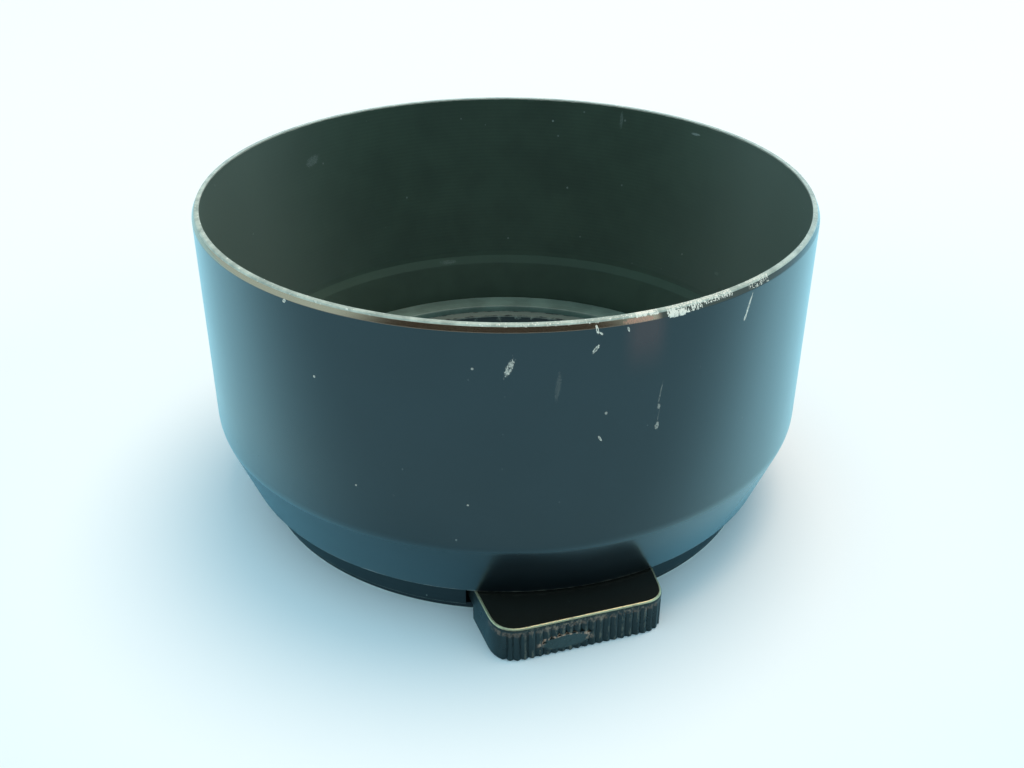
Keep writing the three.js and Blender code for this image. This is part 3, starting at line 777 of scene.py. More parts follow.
# Scratches on the outer wall: azimuth, height, length, width, lean, ragged, strength, hollow.
WALL_SCRATCHES = (
    (-10.5, 33.65, 1.9, 0.6, 22, 0.85, 0.6, 0.55),
    (2.5, 37.15, 0.9, 0.24, -14, 0.5, 0.95, 0.7),
    (3.1, 36.75, 0.5, 0.2, -48, 0.5, 0.9, 0.0),
    (2.4, 35.15, 1.0, 0.3, 38, 0.7, 0.75, 0.68),
    (7.4, 36.8, 0.6, 0.2, -20, 0.5, 0.7, 0.6),
    (30.6, 35.6, 2.6, 0.26, 18, 0.55, 0.95, 0.62),
    (30.0, 34.5, 0.7, 0.34, 22, 0.5, 0.8, 0.5),
    (13.5, 27.6, 0.62, 0.36, 0, 0.6, 0.28, 0.0),
    (13.4, 25.4, 0.8, 0.42, 12, 0.7, 0.42, 0.6),
    (13.6, 29.1, 2.4, 0.16, 8, 0.9, 0.16, 0.0),
    (13.5, 26.4, 2.0, 0.12, 8, 0.9, 0.1, 0.0),
    (3.7, 25.2, 0.7, 0.22, -30, 0.5, 0.6, 0.6),
    (4.5, 28.0, 0.35, 0.3, 0, 0.3, 0.35, 0.0),
    (-3.2, 31.5, 3.2, 0.5, 6, 0.9, 0.06),
    (-42.5, 29.7, 0.3, 0.28, 0, 0.3, 0.6),
    (-16.0, 33.5, 0.28, 0.28, 0, 0.3, 0.4),
    (-47.4, 37.1, 0.5, 0.36, 60, 0.5, 0.8, 0.6),
    (-36.0, 18.1, 0.25, 0.25, 0, 0.3, 0.45),
    (-17.0, 17.9, 0.25, 0.25, 0, 0.3, 0.4),
    (96.0, 21.0, 2.6, 0.2, 30, 0.8, 0.4),
    (131.0, 33.0, 1.2, 0.3, -15, 0.5, 0.6),
    (168.0, 29.0, 3.4, 0.16, 48, 0.8, 0.35),
    (-118.0, 34.2, 1.4, 0.3, 14, 0.6, 0.6),
    (-150.0, 17.0, 1.8, 0.2, -35, 0.7, 0.35),
)
# Chipped stretches of the rim: from, to, low, high, soft, amount, chip size.
RIM_CHIPS = (
    (14.0, 20.3, 37.35, 38.1, 0.6, 0.62, 0.3),
    (14.2, 17.0, 37.2, 37.7, 0.5, 0.74, 0.26),
    (20.8, 26.5, 37.6, 38.1, 0.8, 0.6, 0.26),
    (30.5, 35.5, 37.4, 38.1, 1.0, 0.55, 0.26),
    (8.8, 12.4, 37.8, 38.1, 0.3, 0.75, 0.5),
    (-14.0, 12.0, 37.8, 38.1, 3.0, 0.46, 0.4),
    (-58.0, -20.0, 37.86, 38.1, 4.0, 0.3, 0.4),
    (60.0, 175.0, 37.45, 38.1, 6.0, 0.45, 0.3),
    (-175.0, -90.0, 37.45, 38.1, 6.0, 0.45, 0.3),
)
# Dust and rubs on the inner wall, laid out like the scratches.
INNER_MARKS = (
    (122.0, 36.4, 0.35, 1.7, 4, 0.5, 0.5),
    (141.5, 36.1, 2.3, 0.5, 0, 0.9, 0.2),
    (158.0, 34.9, 0.32, 0.32, 0, 0.3, 0.4),
    (154.0, 25.1, 0.34, 0.34, 0, 0.3, 0.34),
    (-142.0, 32.8, 1.3, 2.4, 20, 0.8, 0.22),
    (111.0, 18.3, 0.5, 0.9, 0, 0.8, 0.14),
    (-176.0, 13.4, 0.6, 2.6, 0, 0.9, 0.16),
    (-120.0, 27.0, 0.3, 0.3, 0, 0.3, 0.3),
    (40.0, 30.0, 0.9, 0.3, 40, 0.6, 0.25),
    (-30.0, 22.0, 1.5, 0.25, -20, 0.8, 0.2),
)


def scratch_mask(sheet, marks):
    masks = []
    for azimuth, height, length, width, lean, ragged, strength, *hollow in marks:
        node = sheet.use(
            "scratch", Azimuth=azimuth, Height=height, Length=length, Width=width,
            Lean=float(lean), Ragged=ragged, Strength=strength, Hollow=hollow[0] if hollow else 0.0)
        masks.append(node["Mask"])
    return highest(sheet, masks)


def gloss_enamel():
    """Gloss enamel of the barrel: orange peel, polished clouds, dust, scratches, the worn rim and a painted reflection
    of a hand near the rim.
    """
    colour = colours()
    material, sheet, shader = new_material("gloss_enamel")
    grain = sheet.use("fine_grain", Grain_Size=0.22, Cloud_Size=9.0)
    where = sheet.use("turned_place")
    lines = sheet.use("turning_lines", Line_Width=0.09)
    dust = sheet.use("specks", Spacing=2.4, Size=0.12, Share=0.12)["Mask"]
    fine_dust = sheet.use("specks", Spacing=0.8, Size=0.07, Share=0.2)["Mask"]
    marks = scratch_mask(sheet, WALL_SCRATCHES)
    chips = highest(sheet, [
        sheet.use("chipped_stretch", From=a, To=b, Low=low, High=high, Soft=soft, Amount=amount, Chip_Size=size)["Mask"]
        for a, b, low, high, soft, amount, size in RIM_CHIPS])
    bevel_top = HOOD_TOP - 0.7
    # The bevel is rubbed down to dark polished metal, and the flat above it to pale metal.
    bevel = sheet.ramp(where["Height"], bevel_top - 0.04, bevel_top + 0.06)
    flat = sheet.ramp(where["Height"], HOOD_TOP - 0.22, HOOD_TOP - 0.16)
    rubs = sheet.noise(sheet.stretched(), 0.45, 5.0, 0.65)
    nicks = sheet.noise(sheet.stretched(), 2.6, 4.0, 0.7)
    foot = worn_edge(sheet, LEDGE_R, LEDGE_Z, 0.14, 1.1, 1.6)
    # Painted reflection: a copper streak on the bevel, where a hand was reflected in it.
    copper_reflection = scratch_mask(sheet, ((9.2, 37.5, 0.6, 3.4, 0, 0.5, 0.8),)) * bevel
    enamel = sheet.mix(
        sheet.ramp(grain["Clouds"], 0.3, 0.7),
        tone(colour.enamel, 0.66), tone(colour.enamel, 1.02))
    # Painted reflection: the wall below the rim is tinted reddish-brown where a hand was reflected in it.
    hand_reflection = sheet.within(where["Azimuth"], 9.5, 11.5, 3.5) * sheet.ramp(where["Height"], 31.0, 36.5)
    enamel = sheet.mix(hand_reflection * 0.5, enamel, (0.085, 0.03, 0.026))
    # The bevel is bare in front and on the left. On the right it keeps an olive stain, and further round its enamel.
    stained = bevel * sheet.ramp(where["Azimuth"], 24.0, 52.0, 1.0, 0.0)
    bevel = bevel * (sheet.ramp(where["Azimuth"], 11.6, 13.2, 1.0, 0.0) * sheet.ramp(where["Azimuth"], -125.0, -80.0))
    stained = stained * sheet.ramp(where["Azimuth"], 11.6, 13.2)
    enamel = sheet.mix(stained * 0.85, enamel, (0.042, 0.040, 0.024))
    body = sheet.mix(bevel * 0.97, enamel, (0.62, 0.42, 0.29))
    body = sheet.mix(dust * 0.26, body, colour.dust)
    body = sheet.mix(fine_dust * 0.10, body, colour.dust)
    pale = sheet.mix(sheet.ramp(rubs, 0.35, 0.65), (0.29, 0.32, 0.26), (0.52, 0.55, 0.45))
    pale = sheet.mix(sheet.ramp(nicks, 0.60, 0.68), pale, (0.88, 0.84, 0.72))
    body = sheet.mix(flat, body, pale)
    body = sheet.mix(copper_reflection, body, (0.50, 0.21, 0.14))
    bare = highest(sheet, [marks, chips, foot * 0.22])
    body = sheet.mix(bare, body, colour.bare_alloy)
    solid = 1.0 - highest(sheet, [bare, flat, copper_reflection])
    metal = bevel * 0.95 * solid
    roughness = sheet.blend(grain["Clouds"], 0.17, 0.29)
    cone = sheet.ramp(where["Height"], CONE_TOP - 0.7, CONE_TOP - 0.1, 1.0, 0.0)
    roughness = sheet.blend(cone, roughness, 0.32)
    roughness = sheet.blend(bevel, roughness, 0.15)
    roughness = sheet.blend(highest(sheet, [bare, dust, flat]), roughness, 0.5)
    relief = grain["Grain"] * 0.5 + lines["Lines"] * 0.12
    relief = relief - bare * 0.6
    finish_material(sheet, shader, body, roughness, metal, relief, 0.22, 0.012)
    shader.inputs["IOR"].default_value = 1.62
    # The lacquer over the enamel gleams at a glancing view.
    glance = sheet.add("ShaderNodeLayerWeight").outputs["Facing"]
    # It is worn duller on the left, most of all on the cone.
    dulled = sheet.within(where["Azimuth"], -150.0, 0.0, 28.0) * sheet.blend(cone, 0.16, 0.62)
    lacquer = sheet.ramp(glance, 0.27, 0.62) * (1.0 - highest(sheet, [bare, bevel, stained, dulled]))
    sheet.feed(shader.inputs["Coat Weight"], lacquer)
    shader.inputs["Coat IOR"].default_value = 1.7
    shader.inputs["Coat Roughness"].default_value = 0.17
    return material


def inner_black():
    """Matt black inside the barrel: painted shade in the groove valleys, a painted highlight on the lower chamfer,
    painted sheen at a glancing view, rubs and lint.
    """
    colour = colours()
    material, sheet, shader = new_material("inner_black")
    grain = sheet.use("fine_grain", Grain_Size=0.09, Cloud_Size=7.0)
    where = sheet.use("turned_place")
    lines = sheet.use("turning_lines", Line_Width=0.07)
    dust = sheet.use("specks", Spacing=1.7, Size=0.13, Share=0.2)["Mask"]
    marks = scratch_mask(sheet, INNER_MARKS)
    wall = (where["Height"] - INNER_WALL_FOOT) * INNER_WALL_SLOPE + INNER_WALL_R
    # Painted shade: the groove valleys are painted darker.
    groove_shade = sheet.ramp(where["Radius"] - wall, 0.0, sizes().groove_depth / MM)
    groove_shade = groove_shade * sheet.ramp(where["Height"], INNER_WALL_FOOT, INNER_WALL_FOOT + 0.3)
    base = sheet.mix(sheet.ramp(grain["Clouds"], 0.3, 0.7), tone(colour.flocked, 0.88), tone(colour.flocked, 1.15))
    base = sheet.mix(groove_shade * 0.14, base, tone(colour.flocked, 0.35))
    # Painted highlight: the lower chamfer is painted paler.
    chamfer_highlight = sheet.within(where["Height"], INNER_CONE_TOP + 0.1, INNER_WALL_FOOT - 0.05, 0.05)
    base = sheet.mix(chamfer_highlight * 0.45, base, tone(colour.flocked, 1.8))
    # Painted sheen: the matt black is painted paler at a glancing view.
    glance = sheet.ramp(sheet.add("ShaderNodeLayerWeight").outputs["Facing"], 0.09, 0.5)
    base = sheet.mix(glance * 0.9, base, (0.108, 0.136, 0.106))
    base = sheet.mix(dust * 0.22, base, colour.dust)
    base = sheet.mix(marks, base, colour.dust)
    crest = worn_edge(sheet, BODY_R - RIM_WIDTH, HOOD_TOP, 0.2, 0.3, 1.1)
    base = sheet.mix(crest * 0.45, base, colour.bare_alloy)
    roughness = sheet.blend(grain["Grain"], 0.50, 0.68)
    relief = grain["Grain"] + lines["Lines"] * 0.4
    finish_material(sheet, shader, base, roughness, crest * 0.3, relief, 0.35, 0.015)
    return material


def satin_black(name, base_colour, rough_low, rough_high, edges=(), bare=None, dust_share=0.15, lines_share=0.35):
    """Satin black on a turned part: lathe lines, clouds, dust and worn edges.

    Each edge is given by its radius, height, reach and strength.
    """
    colour = colours()
    material, sheet, shader = new_material(name)
    grain = sheet.use("fine_grain", Grain_Size=0.1, Cloud_Size=5.0)
    lines = sheet.use("turning_lines", Line_Width=0.06)
    dust = sheet.use("specks", Spacing=1.3, Size=0.11, Share=dust_share)["Mask"]
    base = sheet.mix(sheet.ramp(grain["Clouds"], 0.3, 0.7), tone(base_colour, 0.8), tone(base_colour, 1.25))
    base = sheet.mix(sheet.ramp(lines["Bands"], 0.45, 0.7) * 0.3, base, tone(base_colour, 1.8))
    base = sheet.mix(dust * 0.35, base, colour.dust)
    bare_mask = None
    if edges:
        bare_mask = highest(sheet, [
            worn_edge(sheet, radius, height, reach, 0.6, 1.3) * strength
            for radius, height, reach, strength in edges])
        base = sheet.mix(bare_mask, base, bare or colour.bare_alloy)
    roughness = sheet.blend(grain["Clouds"], rough_low, rough_high)
    relief = grain["Grain"] * 0.6 + lines["Lines"] * lines_share
    metal = bare_mask * 0.8 if bare_mask else 0.0
    finish_material(sheet, shader, base, roughness, metal, relief, 0.35, 0.015)
    return material


def tab_satin():
    """Satin black over brass on the tabs: rubbed top edge, bright rib crests, a patch worn flat and painted olive light
    on the upper faces.
    """
    colour = colours()
    material, sheet, shader = new_material("tab_satin")
    grain = sheet.use("fine_grain", Grain_Size=0.09, Cloud_Size=3.0)
    dust = sheet.use("specks", Spacing=1.0, Size=0.08, Share=0.2)["Mask"]
    hairs = sheet.use("hairlines", Turn=8.0, Spacing=0.9, Amount=0.35)["Mask"]
    upward = sheet.parts(sheet.add("ShaderNodeNewGeometry").outputs["Normal"])[2]
    _, y, height = sheet.parts(sheet.stretched())
    # Distance out past the barrel, the same on both tabs.
    outward = sheet.math("ABSOLUTE", y)
    edge = sheet.within(upward, 0.5, 0.955, 0.035) * sheet.ramp(height, TAB_TOP - 0.42, TAB_TOP - 0.25)
    patchy = sheet.noise(sheet.stretched(), 0.7, 4.0, 0.6)
    edge = edge * sheet.ramp(patchy, 0.25, 0.5, 0.45, 1.0)
    edge = edge * sheet.ramp(outward, 31.5, 34.5, 0.35, 1.0)
    front = sheet.ramp(outward, 35.6, 36.0)
    flank = sheet.within(upward, -0.3, 0.3, 0.1) * front
    rib_noise = sheet.noise(sheet.stretched(1.0, 1.0, 0.5), 2.2, 4.0, 0.7)
    rubbed = sheet.use("rib_crest")
    crest = rubbed["Crest"] * flank * sheet.ramp(rib_noise, 0.47, 0.6)
    base = sheet.mix(sheet.ramp(grain["Clouds"], 0.3, 0.7), tone(colour.tab_black, 0.8), tone(colour.tab_black, 1.5))
    # Painted light: the upper faces further out are tinted a lighter olive.
    painted_top_light = sheet.ramp(outward, 33.0, 38.0) * sheet.ramp(upward, 0.6, 0.95)
    base = sheet.mix(painted_top_light * 0.05, base, (0.04, 0.05, 0.022))
    base = sheet.mix(dust * 0.25, base, colour.dust)
    base = sheet.mix(hairs * 0.16, base, colour.bare_brass)
    base = sheet.mix(rubbed["Patch"] * front, base, (0.022, 0.036, 0.034))
    patch = rubbed["Patch Edge"] * front * sheet.ramp(rib_noise, 0.42, 0.56)
    base = sheet.mix(crest * 0.3, base, (0.24, 0.22, 0.15))
    worn = edge * 0.85
    base = sheet.mix(worn, base, colour.bare_brass)
    tips = sheet.within(height, 3.3, 3.85, 0.1) * (front * sheet.ramp(rib_noise, 0.4, 0.6))
    tips = tips * sheet.within(upward, -0.9, 0.5, 0.1)
    base = sheet.mix(highest(sheet, [patch * 0.75, tips * 0.22]), base, (0.50, 0.31, 0.21))
    top = sheet.ramp(upward, 0.965, 0.993)
    base = sheet.mix(top * 0.7, base, (0.0165, 0.0158, 0.0125))
    roughness = sheet.blend(grain["Clouds"], 0.22, 0.36)
    roughness = sheet.blend(top, roughness, 0.12)
    roughness = sheet.blend(worn, roughness, 0.3)
    relief = grain["Grain"] - hairs * 0.5
    finish_material(sheet, shader, base, roughness, worn * 0.85, relief, 0.3, 0.015)
    return material


def build_rib_crest():
    """Crest is 1 on a tab's front line and 0 in its grooves. Patch is worn flat, and Patch Edge rings it."""
    sheet, _, result = new_group(
        "rib_crest", {}, ("Crest", "Patch", "Patch Edge"))
    x, y, z = sheet.parts(sheet.stretched())
    side = sheet.math("SIGN", y) * -1.0
    left, right = Vector(TAB_FRONT_LEFT), Vector(TAB_FRONT_RIGHT)
    along = (right - left).normalized()
    normal = Vector((along.y, -along.x))
    out = x * normal.x + y * normal.y
    out = out * side
    reach = normal.dot(left)
    crest = sheet.ramp(out, reach - 0.06, reach - 0.015)
    run = x * along.x + y * along.y
    run = run * side - (along.dot(left) + 7.5)
    far = sheet.math("SQRT", sheet.math("POWER", run / 2.9, 2.0) + sheet.math("POWER", (z - 1.45) / 0.92, 2.0))
    wobble = sheet.noise(sheet.stretched(), 1.7, 3.0, 0.6) - 0.5
    far = far + wobble * 0.5
    ring = sheet.within(far, 0.92, 1.02, 0.12)
    inside = sheet.ramp(far, 0.8, 1.0, 1.0, 0.0)
    sheet.feed(result["Patch"], inside)
    sheet.feed(result["Crest"], crest * (1.0 - inside))
    sheet.feed(result["Patch Edge"], ring * sheet.ramp(z, 1.0, 1.6))


def bright_metal(name, base_colour, rough_low, rough_high, line_turn=0.0, stain=0.25):
    """Bare metal: fine rolling or turning lines, stains and a dull tarnish."""
    material, sheet, shader = new_material(name)
    grain = sheet.use("fine_grain", Grain_Size=0.05, Cloud_Size=1.6)
    hairs = sheet.use("hairlines", Turn=line_turn, Spacing=0.25, Amount=0.8)["Mask"]
    base = sheet.mix(sheet.ramp(grain["Clouds"], 0.4, 0.7) * stain, base_colour, tone(base_colour, 0.45))
    base = sheet.mix(hairs * 0.3, base, tone(base_colour, 1.35))
    roughness = sheet.blend(grain["Clouds"], rough_low, rough_high)
    relief = grain["Grain"] + hairs * 0.6
    finish_material(sheet, shader, base, roughness, 1.0, relief, 0.25, 0.01)
    return material


# ---------------------------------------------------------------- pieces

def barrel_profile():
    """The barrel's outline: outside up, over the rim, down the grooved wall and round the mounting lip."""
    size = sizes()
    rounding = size.edge_rounding / MM
    bevel = size.rim_bevel / MM
    corners = [
        (LIP_BORE_R, LEDGE_Z, rounding * 0.5),
        (LEDGE_R, LEDGE_Z, rounding),
        (BODY_R, CONE_TOP, rounding * 7),
        (BODY_R, HOOD_TOP - 2 * bevel, rounding),
        (BODY_R - bevel, HOOD_TOP, rounding),
        (BODY_R - RIM_WIDTH, HOOD_TOP, rounding * 0.8),
    ]
    pitch, depth = size.groove_pitch / MM, size.groove_depth / MM
    for i in range(size.groove_count, -1, -1):
        height = INNER_WALL_FOOT + 0.5 + pitch * i
        wall = INNER_WALL_R + INNER_WALL_SLOPE * (height - INNER_WALL_FOOT)
        corners.append((wall, height, 0.0))
        if i:
            corners.append((wall + depth, height - pitch * 0.5, 0.0))
    corners += [
        (INNER_WALL_R, INNER_WALL_FOOT, 0.06),
        (INNER_WALL_R - 0.7, INNER_CONE_TOP, 0.06),
        (RECESS_R, LOCK_TOP, 0.1),
        (RECESS_R, LIP_TOP, 0.0),
        (LIP_BORE_R, LIP_TOP, 0.05),
    ]
    return profile(corners)


def screw_piece(name, x, y, screw):
    """A slotted countersunk screw with thread grooves on its shank."""
    low, head, head_height, shank, top = screw
    corners = [(0.0, low, 0.0), (head, low, 0.08), (shank, low + head_height, 0.05)]
    height = low + head_height + 0.15
    while height < top - 0.3:
        corners += [(shank, height, 0.0), (shank - 0.07, height + 0.09, 0.0), (shank, height + 0.18, 0.0)]
        height += 0.22
    corners += [(shank, top - 0.12, 0.0), (shank - 0.12, top, 0.0), (0.0, top, 0.0)]
    piece = small_turned(name, corners, x, y)
    slot = box_between(
        name + "_slot", (x - head - 1, y - 0.15, low - 1), (x + head + 1, y + 0.15, low + 0.22))
    return shade(cut_away(piece, [slot]))


def screw_hole(name, x, y, screw):
    """A cutter that leaves a screw its gap."""
    low, head, head_height, shank, top = screw
    head, shank = head + SCREW_GAP, shank + SCREW_GAP
    return small_turned(name, [
        (0.0, low - 1, 0.0), (head, low - 1, 0.0), (head, low, 0.0),
        (shank, low + head_height, 0.0), (shank, top + SCREW_GAP, 0.0), (0.0, top + SCREW_GAP, 0.0)], x, y)


def round_hole(name, radius, low, high, x=0.0, y=0.0):
    corners = [(0.0, low, 0.0), (radius, low, 0.0), (radius, high, 0.0), (0.0, high, 0.0)]
    return small_turned(name, corners, x, y)


def pin_hole(name, radius, low, high):
    return round_hole(name, radius, low, high, *PIVOT)


def cover_screw_place():
    return (c / MM for c in place(COVER_SCREW_AZ[0], COVER_SCREW_R)[:2])


def cover_screw_holes(name):
    """Four cutters for the cover screws."""
    x, y = cover_screw_place()
    first = screw_hole(name, x, y, COVER_SCREW)
    return [first] + [copy_of(first, f"{name}_{az:.0f}", az - COVER_SCREW_AZ[0]) for az in COVER_SCREW_AZ[1:]]


def tab_screw_holes(name):
    return [screw_hole(f"{name}_{i}", x, y, TAB_SCREW) for i, (x, y) in enumerate(TAB_SCREWS)]


def tab_outline(height):
    """The tab's outline seen from above, with rounded front corners."""
    left, right = Vector(TAB_FRONT_LEFT), Vector(TAB_FRONT_RIGHT)
    along = (right - left).normalized()
    left_side = Vector((-TAB_LEFT_DRAFT, 1.0)).normalized() * TAB_LEFT_CORNER
    right_side = Vector((TAB_RIGHT_DRAFT, 1.0)).normalized() * TAB_RIGHT_CORNER
    points = arc(TAB_INNER_R, TAB_INNER_FROM, TAB_INNER_TO, TAB_INNER_STEP, height)
    corners = ((left, left_side, along * TAB_LEFT_CORNER), (right, -along * TAB_RIGHT_CORNER, right_side))
    for corner, start, end in corners:
        for i in range(9):
            t = i / 8
            p = (corner + start) * (1 - t) ** 2 + corner * 2 * t * (1 - t) + (corner + end) * t ** 2
            points.append(Vector((p.x, p.y, height)) * MM)
    return points


def front_path():
    """Points and outward directions along the tab's front, by the share of its length."""
    inner_count = len(arc(TAB_INNER_R, TAB_INNER_FROM, TAB_INNER_TO, TAB_INNER_STEP))
    points = [Vector((p.x, p.y)) / MM for p in tab_outline(0.0)[inner_count:]]
    lengths = [0.0]
    for a, b in zip(points, points[1:]):
        lengths.append(lengths[-1] + (b - a).length)

    def at(share):
        target = share * lengths[-1]
        k = next(i for i in range(1, len(lengths)) if lengths[i] >= target - 1e-9)
        step = (target - lengths[k - 1]) / (lengths[k] - lengths[k - 1])
        here = points[k - 1].lerp(points[k], step)
        along = (points[k] - points[k - 1]).normalized()
        return here, Vector((along.y, -along.x))
    return at, lengths[-1]


class LENSHOOD_OT_barrel(bpy.types.Operator):
    """Turns the barrel with its grooved inner wall and worn rim"""

    bl_idname = "lens_hood.barrel"
    bl_label = "Barrel"

    def execute(self, context):
        piece = turned("barrel", barrel_profile())
        shade(piece)
        coat(piece, gloss_enamel(), inner_black())

        def inside(face):
            radius = math.hypot(face.center.x, face.center.y) / MM
            height = face.center.z / MM
            return height < HOOD_TOP - 0.05 and radius < 35.3 and not (height < LEDGE_Z + 0.02) and (
                radius < 33.0 or height > CONE_TOP or radius < 33.0 + (height - LOCK_TOP) * 0.3) and not (
                radius > LEDGE_R - 0.05 + (height - LEDGE_Z) * 0.375)
        coat_faces(piece, 1, inside)
        settle(piece, "hood", "hood_barrel")
        return {"FINISHED"}


class LENSHOOD_OT_mount_ring(bpy.types.Operator):
    """Turns the mount ring and cuts its latch channels, tab windows, claw windows and holes"""

    bl_idname = "lens_hood.mount_ring"
    bl_label = "Mount ring"

    def execute(self, context):
        piece = turned("mount_ring_body", profile([
            (BORE_R, COVER_TOP, 0.04), (BAND_R, COVER_TOP, 0.09), (BAND_R, LIP_TOP, 0.0), (FLANGE_R, LIP_TOP, 0.05),
            (FLANGE_R, FLANGE_TOP, 0.05), (SEAT_OUTER_R, FLANGE_TOP, 0.0), (SEAT_OUTER_R, SEAT_TOP, 0.06),
            (SEAT_R, SEAT_TOP, 0.12),
            (SEAT_R, SEAT_Z, 0.05), (BORE_R, SEAT_Z, 0.0)]))
        cut_away(piece, on_both_sides(sector("channel", SLEEVE_R, BAND_INNER_R, -25, 80, 0.0, CHANNEL_TOP)))
        cut_away(piece, on_both_sides(plate("tab_window", self.window_outline(), CHANNEL_TOP - 0.01)))
        cut_away(piece, on_both_sides(sector("claw_window", 26.0, SEAT_OUTER_R, 48.65, 71.15, 0.0, 2.2)))
        cut_away(piece, on_both_sides(pin_hole("pin_hole", 0.52, 0.0, 5.23)))
        cut_away(piece, cover_screw_holes("screw_hole"))
        shade(piece)
        # The second entry, 0.85 mm wide, paints the seat's whole top face pale greenish: a painted highlight on the
        # ledge. The other three are worn edges.
        worn_edges_and_seat_highlight = (
            (BAND_R, COVER_TOP, 0.12, 0.12), (27.95, SEAT_TOP, 0.85, 0.42),
            (SEAT_R, SEAT_TOP, 0.12, 0.25), (BORE_R, COVER_TOP, 0.12, 0.4))
        coat(piece, satin_black(
            "mount_ring_satin", colours().ring_black, 0.32, 0.46, worn_edges_and_seat_highlight, (0.55, 0.66, 0.56)))
        settle(piece, "hood", "mount_ring")
        return {"FINISHED"}

    def window_outline(self):
        """The window keeps an even gap to the tab's sides."""
        gap = 0.3
        inner = arc(TAB_INNER_R, TAB_INNER_FROM, TAB_INNER_TO, 1.518)
        outer_y = -BAND_R - 1
        left_x = TAB_ROOT_LEFT_X + TAB_LEFT_DRAFT
        right_x = TAB_ROOT_RIGHT_X - TAB_RIGHT_DRAFT
        left = inner[-1] - Vector((gap, 0.0, 0.0)) * MM
        right = inner[0] + Vector((gap, 0.0, 0.0)) * MM
        outer = [Vector((x, outer_y, 0.0)) * MM for x in (left_x - gap, right_x + gap)]
        return [left, *outer, right, *inner]


class LENSHOOD_OT_lock_ring(bpy.types.Operator):
    """Turns the lock ring and cuts its two spanner slots"""

    bl_idname = "lens_hood.lock_ring"
    bl_label = "Lock ring"

    def execute(self, context):
        piece = turned("lock_ring_body", profile([
            (LOCK_BORE_R, FLANGE_TOP, 0.0), (FLANGE_R, FLANGE_TOP, 0.0),
            (FLANGE_R, LOCK_TOP, 0.12), (LOCK_BORE_R, LOCK_TOP, 0.2)]))
        slot = box_between("spanner_slot", (27.9, -0.8, LOCK_TOP - 0.6), (30.4, 0.8, LOCK_TOP + 1))
        cut_away(piece, on_both_sides(slot))
        shade(piece)
        # The lock ring's colour carries a painted highlight.
        coat(piece, satin_black("lock_ring_satin", colours().lock_black, 0.36, 0.5, (
            (LOCK_BORE_R, LOCK_TOP, 0.22, 0.08), (FLANGE_R, LOCK_TOP, 0.14, 0.12)), lines_share=0.8))
        settle(piece, "hood", "lock_ring")
        return {"FINISHED"}


class LENSHOOD_OT_cover_plate(bpy.types.Operator):
    """Turns the cover plate and cuts its notches, countersinks and pin holes"""

    bl_idname = "lens_hood.cover_plate"
    bl_label = "Cover plate"

    def execute(self, context):
        piece = turned("cover_plate_body", profile([
            (BORE_R, 0.0, 0.06), (COVER_R - 0.3, 0.0, 0.05), (COVER_R, 0.3, 0.05),
            (COVER_R, COVER_TOP, 0.0), (BORE_R, COVER_TOP, 0.0)]))
        cut_away(piece, on_both_sides(box_between("tab_notch", (-13.85, -36.0, -1.0), (13.85, -29.2, COVER_TOP + 1))))
        cut_away(piece, on_both_sides(pin_hole("cover_pin_hole", 0.52, -1.0, 2.0)))
        cut_away(piece, cover_screw_holes("countersink"))
        shade(piece)
        coat(piece, satin_black("cover_plate_dull", colours().cover_black, 0.42, 0.6, (
            (COVER_R - 0.3, 0.0, 0.22, 0.75), (BORE_R, 0.0, 0.16, 0.7)), dust_share=0.25, lines_share=0.9))
        settle(piece, "hood", "cover_plate")
        return {"FINISHED"}


class LENSHOOD_OT_cover_screws(bpy.types.Operator):
    """Makes one slotted cover screw and copies it to its four places"""

    bl_idname = "lens_hood.cover_screws"
    bl_label = "Cover screws"

    def execute(self, context):
        x, y = cover_screw_place()
        first = screw_piece("cover_screw_plain", x, y, COVER_SCREW)
        coat(first, bright_metal("cover_screw_steel", colours().dark_steel, 0.28, 0.42, 30.0))
        for i, (azimuth, turn) in enumerate(zip(COVER_SCREW_AZ, COVER_SCREW_TURNS)):
            screw = copy_of(first, f"cover_screw_slotted_{i + 1}", turn, (x, y))
            turn_piece(screw, azimuth - COVER_SCREW_AZ[0])
            settle(screw, "hood", f"cover_screw_{i + 1}")
        bpy.data.objects.remove(first)
        return {"FINISHED"}


